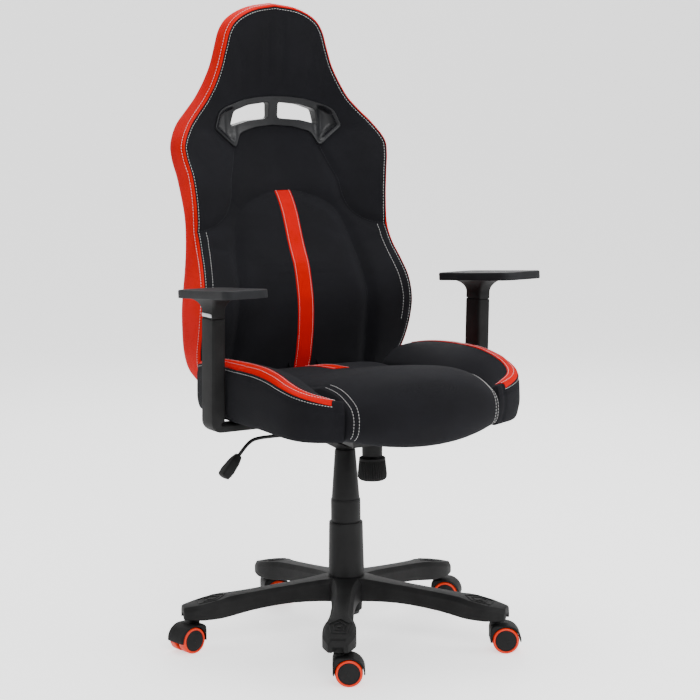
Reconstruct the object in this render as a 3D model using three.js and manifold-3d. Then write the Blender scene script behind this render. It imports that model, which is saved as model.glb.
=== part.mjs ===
// A racing-style swivel seat: five-star castor base, gas lift with telescopic covers, tilt mechanism,
// bolstered seat, winged back with a vent, and two height-adjustable arms.
// Millimetres. +Z is up, the sitter faces -Y, and +X is on the sitter's left hand.
// Everything is built about the swivel axis; the last lines move the origin to the middle of the floor area.
import * as THREE from "three";
import { mergeVertices } from "three/addons/utils/BufferGeometryUtils.js";
import Module from "manifold-3d";

// ---------------------------------------------------------------- driving dimensions
const GAP = 0.3; // between pieces that touch

// castors and star base
const WHEEL_RADIUS = 25;
const WHEEL_WIDTH = 19;
const WHEEL_SIDES = 20;
const WEB_WIDTH = 9; // the castor's web between its two wheels
const AXLE_RADIUS = 4;
const AXLE_SIDES = 10;
const AXLE_INSET = 3; // axle end inside the wheel's face
const CASTOR_TRAIL = 18; // wheel centre behind the stem
const HOOD_GAP = 1.6;
const HOOD_WALL = 2.6;
const STEM_RADIUS = 5.5;
const STEM_FOOT_RADIUS = 3.5; // where the stem stands in the hood's web
const STEM_LENGTH = 24;
const STEM_SIDES = 10;
const CASTOR_CIRCLE = 300; // radius through the five stems
const ARM_OVERHANG = 22; // arm beyond the stem
const ARM_TIP_HEIGHT = 25;
const ARM_WALL = 3.5;
const HUB_LEDGE = 4; // hub beyond the lowest cover
const HUB_HEIGHT = 68;
const BASE_YAW = -32.4; // degrees the star stands turned under the seat

// gas lift and covers
const COLUMN_RADIUS = 25;
const COLUMN_WALL = 2;
const COLUMN_HEADROOM = 2; // column below the upper cover's taper when the lift is right down
const TUBE_RADIUS = 14;
const TUBE_WALL = 2.5;
const ROD_RADIUS = 5;
const LIFT_DOWN = 80; // travel left below the rest height
const COVER_WALL = 1.3;
const COVER_OVER_COLUMN = 0.7;
const COVER_RUNNING_GAP = 0.5; // upper cover inside the middle one
const COVER_STEP = 3.9; // middle cover inside the lower one, which has a lip
const LOWER_COVER_HEIGHT = 106;
const MIDDLE_COVER_SHOWN = 45;
const UPPER_COVER_SHOWN = 97;
const COVER_OVERLAP = 64; // how far a cover reaches into the next one down
const UPPER_COVER_TOP_RADIUS = 19.5;

// tilt mechanism
const HOUSING_WIDTH = 114;
const HOUSING_FRONT = -132;
const HOUSING_REAR = 55;
const HOUSING_HEIGHT = 58;
const SHEET = 3; // pressed steel thickness
const PIVOT_Y = -45;
const PIVOT_RADIUS = 6;
const TILT_MAX = 10; // degrees
const PLATE_WIDTH = 196;
const PLATE_DEPTH = 220;
const PLATE_THICKNESS = 3.7;
const KNOB_Y = -103;
const KNOB_RADIUS = 28;
const KNOB_HEIGHT = 43;
const LEVER_Y = -5;
const LEVER_RADIUS = 4;
const LEVER_ABOVE_FLOOR = 32; // lever axis above the housing's underside
const LEVER_REACH = 206;

// seat
const BOARD_THICKNESS = 12;
const BOARD_INSET = 42; // board inside the bolsters' outer sides
const BOARD_FRONT = -268;
const BOARD_REAR = 172;
const CENTRE_HALF_WIDTH = 156; // half of the middle cushion
const SEAT_HALF_WIDTH = 264;
const NOSE_FRONT = -334;
const SEAT_REAR = 148;
const BOLSTER_FRONT = -284;
const BOLSTER_REAR = 122;
const BOLSTER_HEIGHT = 106;

// back
const BACK_HEIGHT = 737;
const BACK_BOARD_THICKNESS = 10;
const BACK_LEAN = 10.1; // degrees
const BRACKET_WIDTH = 64;
const BRACKET_THICKNESS = 6;
const VENT_HALF_WIDTH = 141;
const VENT_MIDDLE_HEIGHT = 57;
const VENT_WALL = 12;
const VENT_PILLAR = 22;

// arms
const ARM_CLEARANCE = 10; // between the seat's side and the post
const POST_WIDTH = 26; // across the chair
const POST_DEPTH = 50; // fore and aft
const POST_HEIGHT = 211;
const POST_LEAN = 2.6; // degrees, top forwards
const TONGUE_WIDTH = 17;
const TONGUE_DEPTH = 38;
const TONGUE_LENGTH = 95;
const FOOT_TO_PLATE = 11; // between the foot's inner end and the seat plate
const FOOT_THICKNESS = 6;
const NECK_STRAIGHT = 12;
const NECK_HEIGHT = 40;
const PAD_LENGTH = 242;
const PAD_WIDTH = 86;
const PAD_THICKNESS = 15.3;
const PAD_CORNER = 22;
const PAD_FORWARD = 36; // pad centre ahead of the post
const PAD_TOE_OUT = 2.6; // degrees
const PAD_PITCH = 4.3; // degrees, front up
const BUTTON_WIDTH = 38;
const BUTTON_HEIGHT = 7;
const BUTTON_TRAVEL = 3;

// ---------------------------------------------------------------- sizes that follow from them
const UPPER_RADIUS = COLUMN_RADIUS + COVER_OVER_COLUMN + COVER_WALL;
const MIDDLE_RADIUS = UPPER_RADIUS + COVER_RUNNING_GAP + COVER_WALL;
const LOWER_COVER_RADIUS = MIDDLE_RADIUS + COVER_STEP + COVER_WALL;
const HUB_RADIUS = LOWER_COVER_RADIUS + HUB_LEDGE;
const POST_X = SEAT_HALF_WIDTH + ARM_CLEARANCE + POST_WIDTH / 2;
const BOARD_HALF_WIDTH = SEAT_HALF_WIDTH - BOARD_INSET;
const HOOD_TOP = 2 * WHEEL_RADIUS + HOOD_GAP + HOOD_WALL;
const TIP_BOTTOM = HOOD_TOP + 8.3;
const STEM_FOOT = WHEEL_RADIUS + 12;
const STEM_SHOULDER = HOOD_TOP + 4.3;
const STEM_TOP = TIP_BOTTOM + STEM_LENGTH - 7;
const HUB_BOTTOM = TIP_BOTTOM - 7.5;
const HUB_TOP = HUB_BOTTOM + HUB_HEIGHT;
const COLUMN_BOTTOM = HUB_BOTTOM - 7;
const LOWER_COVER_BOTTOM = HUB_TOP + GAP;
const LOWER_COVER_TOP = LOWER_COVER_BOTTOM + LOWER_COVER_HEIGHT;
const MIDDLE_COVER_TOP = LOWER_COVER_TOP + MIDDLE_COVER_SHOWN;
const COLUMN_TOP = MIDDLE_COVER_TOP - LIFT_DOWN - COLUMN_HEADROOM;
const UPPER_COVER_TOP = MIDDLE_COVER_TOP + UPPER_COVER_SHOWN;
const HOUSING_BOTTOM = UPPER_COVER_TOP + GAP;
const HOUSING_TOP = HOUSING_BOTTOM + HOUSING_HEIGHT;
const PIVOT_Z = HOUSING_TOP - 16;
const LEVER_Z = HOUSING_BOTTOM + LEVER_ABOVE_FLOOR;
const PLATE_BOTTOM = HOUSING_TOP + 7;
const BOARD_BOTTOM = PLATE_BOTTOM + PLATE_THICKNESS + GAP;
const BOARD_TOP = BOARD_BOTTOM + BOARD_THICKNESS;
const SEAT_BOTTOM = BOARD_TOP + GAP;
const BACK_BOTTOM = SEAT_BOTTOM + 37;
const FOOT_BOTTOM = BOARD_BOTTOM - GAP - FOOT_THICKNESS;
const POST_TOP = FOOT_BOTTOM + POST_HEIGHT;
const NECK_TOP = POST_TOP + GAP + NECK_HEIGHT;

// ---------------------------------------------------------------- materials
function finish(colour, roughness, metalness = 0) {
  return new THREE.MeshStandardMaterial({ color: colour, roughness, metalness });
}
const BLACK_FABRIC = finish(0x1b1b1e, 0.9);
const RED_LEATHER = finish(0xd81c14, 0.45);
const NYLON = finish(0x262627, 0.6);
const SOFT_PLASTIC = finish(0x232425, 0.5);
const GLOSS_PLASTIC = finish(0x141416, 0.25);
const TYRE_PLASTIC = finish(0x1f1f20, 0.55);
const BLACK_STEEL = finish(0x1c1c1d, 0.45, 0.5);
const BRIGHT_STEEL = finish(0xb9bcc0, 0.28, 1);
const SPRING_STEEL = finish(0x55585c, 0.4, 1);
const PLYWOOD = finish(0xb08a5a, 0.75);

// ---------------------------------------------------------------- geometry helpers
const wasm = await Module();
wasm.setup();

const radians = THREE.MathUtils.degToRad;
const lerp = THREE.MathUtils.lerp;

function toSolid(geometry) {
  const bare = geometry.clone();
  bare.deleteAttribute("normal");
  bare.deleteAttribute("uv");
  const merged = mergeVertices(bare, 1e-3);
  const made = new wasm.Manifold(
    new wasm.Mesh({
      numProp: 3,
      vertProperties: new Float32Array(merged.attributes.position.array),
      triVerts: new Uint32Array(merged.index.array),
    }),
  );
  return made;
}

function toGeometry(solid) {
  const mesh = solid.getMesh();
  const geometry = new THREE.BufferGeometry();
  const places = new Float32Array(mesh.vertProperties);
  geometry.setAttribute("position", new THREE.BufferAttribute(places, 3));
  geometry.setIndex(new THREE.BufferAttribute(new Uint32Array(mesh.triVerts), 1));
  return geometry;
}

// Turns every face round when the geometry is inside out.
function outward(geometry) {
  const flat = geometry.index ? geometry.toNonIndexed() : geometry;
  const p = flat.getAttribute("position");
  const [a, b, c] = [new THREE.Vector3(), new THREE.Vector3(), new THREE.Vector3()];
  let volume = 0;
  for (let i = 0; i < p.count; i += 3) {
    a.fromBufferAttribute(p, i);
    b.fromBufferAttribute(p, i + 1);
    c.fromBufferAttribute(p, i + 2);
    volume += a.dot(b.cross(c));
  }
  if (volume > 0) return flat;
  for (let i = 0; i < p.count; i += 3) {
    a.fromBufferAttribute(p, i);
    b.fromBufferAttribute(p, i + 1);
    p.setXYZ(i, b.x, b.y, b.z);
    p.setXYZ(i + 1, a.x, a.y, a.z);
  }
  return flat;
}

function join(first, ...others) {
  return toGeometry(others.reduce((sum, g) => sum.add(toSolid(g)), toSolid(first)));
}

function cut(first, ...others) {
  return toGeometry(others.reduce((sum, g) => sum.subtract(toSolid(g)), toSolid(first)));
}

// A body turned about Z from [radius, height] points that start and end on the axis or close on themselves.
function turned(points, sides = 24) {
  const profile = points.map(([r, z]) => new THREE.Vector2(r, z));
  return outward(new THREE.LatheGeometry(profile, sides).rotateX(Math.PI / 2));
}

// The radius of a many-sided hole whose flats clear a round bar.
function clearing(radius, sides) {
  return (radius + GAP) / Math.cos(Math.PI / sides);
}

function rod(radius, bottom, top, sides = 24) {
  return turned([[0, bottom], [radius, bottom], [radius, top], [0, top]], sides);
}

function ring(outer, inner, bottom, top, sides = 24) {
  return turned([[inner, bottom], [outer, bottom], [outer, top], [inner, top], [inner, bottom]], sides);
}

function block(x0, x1, y0, y1, z0, z1) {
  const box = new THREE.BoxGeometry(x1 - x0, y1 - y0, z1 - z0);
  return box.translate((x0 + x1) / 2, (y0 + y1) / 2, (z0 + z1) / 2);
}

// A flat shape from [x, y] points, with the outline running anticlockwise and its holes clockwise.
function shapeOf(points, holes = []) {
  const wound = (outline, clockwise) => {
    const list = outline.map(([x, y]) => new THREE.Vector2(x, y));
    return THREE.ShapeUtils.isClockWise(list) === clockwise ? list : list.reverse();
  };
  const shape = new THREE.Shape(wound(points, false));
  holes.forEach((hole) => shape.holes.push(new THREE.Path(wound(hole, true))));
  return shape;
}

// An outline moved out by a distance, each corner along its mitre.
function grown(points, by) {
  const turn = THREE.ShapeUtils.isClockWise(points.map(([x, y]) => new THREE.Vector2(x, y))) ? -1 : 1;
  const normal = ([x0, y0], [x1, y1]) => {
    const length = Math.hypot(x1 - x0, y1 - y0);
    return [(turn * (y1 - y0)) / length, (-turn * (x1 - x0)) / length];
  };
  return points.map((p, i) => {
    const [ax, ay] = normal(points[(i + points.length - 1) % points.length], p);
    const [bx, by2] = normal(p, points[(i + 1) % points.length]);
    const scale = by / (1 + ax * bx + ay * by2);
    return [p[0] + (ax + bx) * scale, p[1] + (ay + by2) * scale];
  });
}

// Extrusions of an outline: up from z0, back from y0 (outline in x, z), or along x from x0 (outline in y, z).
function raised(points, z0, z1, holes) {
  const g = new THREE.ExtrudeGeometry(shapeOf(points, holes), { depth: z1 - z0, bevelEnabled: false });
  return outward(g.translate(0, 0, z0));
}

function pushedBack(points, y0, y1, holes) {
  const g = new THREE.ExtrudeGeometry(shapeOf(points, holes), { depth: y1 - y0, bevelEnabled: false });
  return outward(g.rotateX(Math.PI / 2).translate(0, y1, 0));
}

function sideways(points, x0, x1, holes) {
  const g = new THREE.ExtrudeGeometry(shapeOf(points, holes), { depth: x1 - x0, bevelEnabled: false });
  const swap = new THREE.Matrix4().set(0, 0, 1, x0, 1, 0, 0, 0, 0, 1, 0, 0, 0, 0, 0, 1);
  return outward(g.applyMatrix4(swap));
}

function roundedRectangle(halfX, halfY, corner, steps = 4) {
  const points = [];
  [[1, 1], [-1, 1], [-1, -1], [1, -1]].forEach(([sx, sy], quarter) => {
    for (let i = 0; i <= steps; i++) {
      const angle = ((quarter + i / steps) * Math.PI) / 2;
      points.push([
        sx * (halfX - corner) + corner * Math.cos(angle),
        sy * (halfY - corner) + corner * Math.sin(angle),
      ]);
    }
  });
  return points;
}

// A closed body through rings of [x, y, z] points of equal count. Each end is a fan from its middle.
function loft(rings) {
  const count = rings[0].length;
  const points = rings.flat();
  const index = [];
  for (let r = 0; r < rings.length - 1; r++)
    for (let i = 0; i < count; i++) {
      const a = r * count + i;
      const b = r * count + ((i + 1) % count);
      index.push(a, b, b + count, a, b + count, a + count);
    }
  for (const first of [0, (rings.length - 1) * count]) {
    const end = points.slice(first, first + count);
    const middle = [0, 1, 2].map((axis) => end.reduce((sum, p) => sum + p[axis], 0) / count);
    points.push(middle);
    for (let i = 0; i < count; i++) {
      const a = first + i;
      const b = first + ((i + 1) % count);
      index.push(points.length - 1, ...(first ? [a, b] : [b, a]));
    }
  }
  const geometry = new THREE.BufferGeometry();
  geometry.setAttribute("position", new THREE.BufferAttribute(new Float32Array(points.flat()), 3));
  geometry.setIndex(index);
  return outward(geometry);
}

function piece(name, geometry, material, parent) {
  const mesh = new THREE.Mesh(geometry, material);
  mesh.name = name;
  parent.add(mesh);
  return mesh;
}

const chair = new THREE.Group();

// ---------------------------------------------------------------- star base and castors
// Each arm runs along -Y from the hub; stations are [distance out, half width, top, bottom].
function starArm(inset) {
  const rise = HUB_TOP - TIP_BOTTOM - ARM_TIP_HEIGHT;
  const tip = CASTOR_CIRCLE + ARM_OVERHANG;
  const stations = [
    [0, 27, rise, 18],
    [HUB_RADIUS + 22, 26, rise * 0.97, 18],
    [CASTOR_CIRCLE * 0.45, 21, rise * 0.73, 17],
    [CASTOR_CIRCLE * 0.65, 21, rise * 0.57, 11],
    [CASTOR_CIRCLE * 0.8, 24, rise * 0.44, 3],
    [CASTOR_CIRCLE - 14, 29, rise * 0.19, 0],
    [tip - 12, 26, rise * 0.06, 0],
    [tip, 17, -1.5, 0],
  ];
  const walls = inset
    ? stations
        .slice(1, 5)
        .map(([out, half, top, bottom], i) => [i ? out - 14 : out, half - inset, top - inset, bottom - 8])
    : stations;
  const chamfer = inset ? 3 : 6;
  return loft(
    walls.map(([out, half, top, bottom]) => {
      const z1 = TIP_BOTTOM + ARM_TIP_HEIGHT + top;
      const z0 = TIP_BOTTOM + bottom;
      return [
        [-half, -out, z0],
        [half, -out, z0],
        [half, -out, z1 - chamfer],
        [half - chamfer, -out, z1],
        [-half + chamfer, -out, z1],
        [-half, -out, z1 - chamfer],
      ];
    }),
  );
}

function starBase() {
  const turn = (geometry, k) => geometry.rotateZ((k * 2 * Math.PI) / 5);
  const arms = [0, 1, 2, 3, 4];
  const rib = (out, half, low, high) =>
    block(-half, half, -out - 1.5, -out + 1.5, TIP_BOTTOM + low, TIP_BOTTOM + high);
  const hub = turned([
    [0, HUB_BOTTOM],
    [HUB_RADIUS + 2, HUB_BOTTOM],
    [HUB_RADIUS + 2, HUB_TOP - 14],
    [HUB_RADIUS - 1, HUB_TOP],
    [0, HUB_TOP],
  ]);
  const outer = join(hub, ...arms.map((k) => turn(starArm(0), k)));
  const stemHole = rod(clearing(STEM_RADIUS, STEM_SIDES), TIP_BOTTOM - 1, STEM_TOP + 1, STEM_SIDES);
  stemHole.translate(0, -CASTOR_CIRCLE, 0);
  const hollow = arms.flatMap((k) => [
    turn(starArm(ARM_WALL), k),
    turn(stemHole.clone(), k),
  ]);
  const ribs = arms.flatMap((k) => [turn(rib(105, 19.4, 22, 50.4), k), turn(rib(165, 18, 19, 44), k)]);
  const bore = rod(COLUMN_RADIUS + GAP, HUB_BOTTOM - 1, HUB_TOP + 1);
  return cut(join(cut(outer, ...hollow), ...ribs), bore);
}

// The hood is an arc over both wheels on a web between them, with a boss on top for the stem.
function castorHood() {
  const inner = WHEEL_RADIUS + HOOD_GAP;
  const outer = inner + HOOD_WALL;
  const half = WEB_WIDTH / 2 + WHEEL_WIDTH + 1;
  const arc = (radius, from, to, steps) =>
    Array.from({ length: steps + 1 }, (_, i) => {
      const angle = radians(lerp(from, to, i / steps));
      return [CASTOR_TRAIL + radius * Math.cos(angle), WHEEL_RADIUS + radius * Math.sin(angle)];
    });
  const shell = pushedBack([...arc(outer, 28, 190, 10), ...arc(inner, 190, 28, 10)], -half, half);
  const webOutline = [...arc(inner + 1, 20, 200, 8), ...arc(AXLE_RADIUS + 5, 235, 305, 2)];
  const web = pushedBack(webOutline, -WEB_WIDTH / 2, WEB_WIDTH / 2);
  const boss = rod(9.5, HOOD_TOP - HOOD_WALL, STEM_SHOULDER - GAP, 12);
  const axleHole = rod(AXLE_RADIUS + GAP, -half, half, AXLE_SIDES).rotateX(Math.PI / 2);
  axleHole.translate(CASTOR_TRAIL, 0, WHEEL_RADIUS);
  const stemHole = rod(STEM_FOOT_RADIUS + GAP, STEM_FOOT - GAP, STEM_SHOULDER + 1, STEM_SIDES);
  return cut(join(shell, web, boss), axleHole, stemHole);
}

function castorStem() {
  return turned(
    [
      [0, STEM_FOOT],
      [STEM_FOOT_RADIUS, STEM_FOOT],
      [STEM_FOOT_RADIUS, STEM_SHOULDER],
      [STEM_RADIUS + 3, STEM_SHOULDER],
      [STEM_RADIUS + 3, TIP_BOTTOM - GAP],
      [STEM_RADIUS, TIP_BOTTOM - GAP],
      [STEM_RADIUS, STEM_TOP],
      [0, STEM_TOP],
    ],
    STEM_SIDES,
  );
}

// A wheel's flats stand at the wheel radius, with one flat on the floor.
function castorWheel() {
  const corner = WHEEL_RADIUS / Math.cos(Math.PI / WHEEL_SIDES);
  const wheel = ring(corner, AXLE_RADIUS + GAP, 0, WHEEL_WIDTH, WHEEL_SIDES);
  return wheel.rotateZ(Math.PI / WHEEL_SIDES).rotateX(Math.PI / 2);
}

const base = new THREE.Group();
base.rotation.z = radians(BASE_YAW);
chair.add(base);
piece("star_base", starBase(), NYLON, base);

// Where each castor stands round the star, and the way it happens to point, in degrees about +Z.
const CASTORS = [
  ["front_right", 0, -29.5],
  ["front_left", 1, -29.5],
  ["left", 2, -40],
  ["rear", 3, -15],
  ["right", 4, -168],
];
for (const [side, step, heading] of CASTORS) {
  const castor = new THREE.Group();
  const angle = (step * 2 * Math.PI) / 5;
  castor.position.set(CASTOR_CIRCLE * Math.sin(angle), -CASTOR_CIRCLE * Math.cos(angle), 0);
  castor.rotation.z = radians(heading - BASE_YAW);
  base.add(castor);
  piece("castor_stem_" + side, castorStem(), BRIGHT_STEEL, castor);
  piece("castor_hood_" + side, castorHood(), NYLON, castor);
  const axleHalf = WEB_WIDTH / 2 + WHEEL_WIDTH - AXLE_INSET;
  const bar = rod(AXLE_RADIUS, -axleHalf, axleHalf, AXLE_SIDES);
  const axle = piece("castor_axle_" + side, bar, BRIGHT_STEEL, castor);
  axle.rotation.x = Math.PI / 2;
  axle.position.set(CASTOR_TRAIL, 0, WHEEL_RADIUS);
  const inner = WEB_WIDTH / 2 + 0.6;
  const near = piece("wheel_outer_" + side, castorWheel(), TYRE_PLASTIC, castor);
  near.position.set(CASTOR_TRAIL, -inner, WHEEL_RADIUS);
  const far = piece("wheel_inner_" + side, castorWheel(), TYRE_PLASTIC, castor);
  far.position.set(CASTOR_TRAIL, inner, WHEEL_RADIUS);
  far.rotation.z = Math.PI;
}

// ---------------------------------------------------------------- gas lift and telescopic covers
const SOCKET_DEPTH = 19; // the housing's socket below its floor
const TUBE_TOP = HOUSING_BOTTOM + 18;
const TUBE_BOTTOM = COLUMN_BOTTOM + LIFT_DOWN + 8;
const PIN_TOP = LEVER_Z - LEVER_RADIUS - GAP;

piece(
  "lift_column",
  turned([
    [ROD_RADIUS + 0.5, COLUMN_BOTTOM],
    [COLUMN_RADIUS, COLUMN_BOTTOM],
    [COLUMN_RADIUS, COLUMN_TOP],
    [COLUMN_RADIUS - COLUMN_WALL, COLUMN_TOP],
    [COLUMN_RADIUS - COLUMN_WALL, COLUMN_BOTTOM + 4],
    [ROD_RADIUS + 0.5, COLUMN_BOTTOM + 4],
    [ROD_RADIUS + 0.5, COLUMN_BOTTOM],
  ]),
  BLACK_STEEL,
  chair,
);
const bearing = ring(15, ROD_RADIUS + 0.5, COLUMN_BOTTOM + 4 + GAP, COLUMN_BOTTOM + 7);
piece("thrust_bearing", bearing, BRIGHT_STEEL, chair);
piece(
  "guide_bush",
  ring(COLUMN_RADIUS - COLUMN_WALL - GAP, TUBE_RADIUS + GAP, COLUMN_TOP - 60, COLUMN_TOP - 1),
  SOFT_PLASTIC,
  chair,
);
piece(
  "piston_rod",
  turned(
    [
      [0, COLUMN_BOTTOM - 4],
      [ROD_RADIUS + 3, COLUMN_BOTTOM - 4],
      [ROD_RADIUS + 3, COLUMN_BOTTOM - GAP],
      [ROD_RADIUS, COLUMN_BOTTOM - GAP],
      [ROD_RADIUS, TUBE_TOP - 110],
      [TUBE_RADIUS - TUBE_WALL - GAP, TUBE_TOP - 110],
      [TUBE_RADIUS - TUBE_WALL - GAP, TUBE_TOP - 95],
      [0, TUBE_TOP - 95],
    ],
    16,
  ),
  BRIGHT_STEEL,
  chair,
);
piece(
  "pressure_tube",
  turned([
    [ROD_RADIUS + GAP, TUBE_BOTTOM],
    [TUBE_RADIUS, TUBE_BOTTOM],
    [TUBE_RADIUS, TUBE_TOP],
    [3 + GAP, TUBE_TOP],
    [3 + GAP, TUBE_TOP - 12],
    [TUBE_RADIUS - TUBE_WALL, TUBE_TOP - 12],
    [TUBE_RADIUS - TUBE_WALL, TUBE_BOTTOM + 5],
    [ROD_RADIUS + GAP, TUBE_BOTTOM + 5],
    [ROD_RADIUS + GAP, TUBE_BOTTOM],
  ]),
  BLACK_STEEL,
  chair,
);
piece("valve_pin", rod(3, TUBE_TOP - 8, PIN_TOP, 16), BRIGHT_STEEL, chair);

// The middle cover runs inside the lower one, and the upper cover inside the middle one.
piece(
  "cover_lower",
  turned([
    [LOWER_COVER_RADIUS - COVER_WALL, LOWER_COVER_BOTTOM],
    [LOWER_COVER_RADIUS + 0.5, LOWER_COVER_BOTTOM],
    [LOWER_COVER_RADIUS - 1.5, LOWER_COVER_TOP],
    [MIDDLE_RADIUS + GAP, LOWER_COVER_TOP],
    [MIDDLE_RADIUS + GAP, LOWER_COVER_TOP - 2],
    [LOWER_COVER_RADIUS - 1.5 - COVER_WALL, LOWER_COVER_TOP - 2],
    [LOWER_COVER_RADIUS - COVER_WALL, LOWER_COVER_BOTTOM],
  ]),
  SOFT_PLASTIC,
  chair,
);
piece(
  "cover_middle",
  ring(MIDDLE_RADIUS, MIDDLE_RADIUS - COVER_WALL, LOWER_COVER_TOP - COVER_OVERLAP + 1, MIDDLE_COVER_TOP),
  SOFT_PLASTIC,
  chair,
);
piece(
  "cover_upper",
  turned([
    [UPPER_RADIUS - COVER_WALL, MIDDLE_COVER_TOP - COVER_OVERLAP],
    [UPPER_RADIUS, MIDDLE_COVER_TOP - COVER_OVERLAP],
    [UPPER_RADIUS, MIDDLE_COVER_TOP],
    [UPPER_COVER_TOP_RADIUS, UPPER_COVER_TOP],
    [UPPER_COVER_TOP_RADIUS - COVER_WALL, UPPER_COVER_TOP],
    [UPPER_RADIUS - COVER_WALL, MIDDLE_COVER_TOP],
    [UPPER_RADIUS - COVER_WALL, MIDDLE_COVER_TOP - COVER_OVERLAP],
  ]),
  SOFT_PLASTIC,
  chair,
);

// ---------------------------------------------------------------- tilt mechanism
const HOUSING_HALF = HOUSING_WIDTH / 2;
const RIM_REAR = HOUSING_TOP - (HOUSING_REAR - PIVOT_Y) * Math.tan(radians(TILT_MAX)) - 2;

function housing() {
  const side = [
    [HOUSING_FRONT, HOUSING_BOTTOM],
    [HOUSING_REAR, HOUSING_BOTTOM],
    [HOUSING_REAR, RIM_REAR],
    [PIVOT_Y + 8, HOUSING_TOP],
    [HOUSING_FRONT + 18, HOUSING_TOP],
    [HOUSING_FRONT, HOUSING_TOP - 14],
  ];
  const pan = sideways(side, -HOUSING_HALF, HOUSING_HALF);
  const room = block(
    SHEET - HOUSING_HALF,
    HOUSING_HALF - SHEET,
    HOUSING_FRONT + SHEET,
    HOUSING_REAR - SHEET,
    HOUSING_BOTTOM + SHEET,
    HOUSING_TOP + 1,
  );
  const socket = rod(TUBE_RADIUS + GAP + 2.6, HOUSING_BOTTOM - SOCKET_DEPTH, HOUSING_BOTTOM + 16);
  const tubeBore = rod(TUBE_RADIUS + GAP, HOUSING_BOTTOM - SOCKET_DEPTH - 1, HOUSING_BOTTOM + 17);
  const across = (radius) => rod(radius, -HOUSING_HALF - 1, HOUSING_HALF + 1, 24).rotateY(Math.PI / 2);
  const shaftHole = across(PIVOT_RADIUS + GAP).translate(0, PIVOT_Y, PIVOT_Z);
  const bushHole = rod(LEVER_RADIUS + 4 + GAP, -HOUSING_HALF - 1, -HOUSING_HALF + SHEET + 1, 24);
  const leverHole = bushHole.rotateY(Math.PI / 2).translate(0, LEVER_Y, LEVER_Z);
  const boltHole = rod(5 + GAP, HOUSING_BOTTOM - 1, HOUSING_BOTTOM + SHEET + 1, 16).translate(0, KNOB_Y, 0);
  return cut(join(cut(pan, room), socket), tubeBore, shaftHole, leverHole, boltHole);
}

function seatPlate() {
  const halfX = PLATE_WIDTH / 2;
  const outline = roundedRectangle(halfX, PLATE_DEPTH / 2, 14);
  const plate = raised(outline, PLATE_BOTTOM, PLATE_BOTTOM + PLATE_THICKNESS);
  const earInner = HOUSING_HALF + 0.6;
  const ears = [earInner, -earInner - SHEET].map((x) =>
    sideways(
      [
        [PIVOT_Y - 26, PLATE_BOTTOM + 1],
        [PIVOT_Y - 12, PIVOT_Z - 11],
        [PIVOT_Y + 12, PIVOT_Z - 11],
        [PIVOT_Y + 26, PLATE_BOTTOM + 1],
      ],
      x,
      x + SHEET,
    ),
  );
  const hole = rod(PIVOT_RADIUS + GAP, -halfX, halfX).rotateY(Math.PI / 2).translate(0, PIVOT_Y, PIVOT_Z);
  return cut(join(plate.translate(0, -8, 0), ...ears), hole);
}

// A wire wound round the tension bolt.
class SpringLine extends THREE.Curve {
  constructor(radius, bottom, top, turns) {
    super();
    Object.assign(this, { radius, bottom, top, turns });
  }
  getPoint(t, target = new THREE.Vector3()) {
    const angle = t * this.turns * 2 * Math.PI;
    const height = lerp(this.bottom, this.top, t);
    return target.set(this.radius * Math.cos(angle), this.radius * Math.sin(angle), height);
  }
}

function tube(curve, radius, steps, sides) {
  const section = new THREE.Shape(
    Array.from({ length: sides }, (_, i) => {
      const angle = (i / sides) * 2 * Math.PI;
      return new THREE.Vector2(radius * Math.cos(angle), radius * Math.sin(angle));
    }),
  );
  return outward(new THREE.ExtrudeGeometry(section, { steps, bevelEnabled: false, extrudePath: curve }));
}

piece("mechanism_housing", housing(), BLACK_STEEL, chair);
piece("seat_plate", seatPlate(), BLACK_STEEL, chair);
const SHAFT_HALF = HOUSING_HALF + SHEET + 3;
const shaft = piece("pivot_shaft", rod(PIVOT_RADIUS, -SHAFT_HALF, SHAFT_HALF), BRIGHT_STEEL, chair);
shaft.rotation.y = Math.PI / 2;
shaft.position.set(0, PIVOT_Y, PIVOT_Z);
const spring = piece(
  "tension_spring",
  tube(new SpringLine(14, HOUSING_BOTTOM + SHEET + 3, HOUSING_TOP - 6, 5), 2.2, 50, 5),
  SPRING_STEEL,
  chair,
);
spring.position.y = KNOB_Y;

// The knob is one moulding with its bolt, fluted round the grip.
function tensionKnob() {
  const bottom = HOUSING_BOTTOM - GAP - KNOB_HEIGHT;
  const body = turned(
    [
      [0, bottom],
      [KNOB_RADIUS - 3, bottom],
      [KNOB_RADIUS, bottom + 3],
      [KNOB_RADIUS, bottom + KNOB_HEIGHT - 9],
      [KNOB_RADIUS - 9, bottom + KNOB_HEIGHT - 7],
      [KNOB_RADIUS - 9, bottom + KNOB_HEIGHT],
      [5, bottom + KNOB_HEIGHT],
      [5, HOUSING_TOP - 5],
      [0, HOUSING_TOP - 5],
    ],
    30,
  );
  const flutes = Array.from({ length: 10 }, (_, i) =>
    rod(3.5, bottom - 1, bottom + KNOB_HEIGHT - 8, 6)
      .translate(KNOB_RADIUS + 1.2, 0, 0)
      .rotateZ((i * Math.PI) / 5),
  );
  return cut(body, ...flutes).translate(0, KNOB_Y, 0);
}
piece("tension_knob", tensionKnob(), NYLON, chair);

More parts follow.
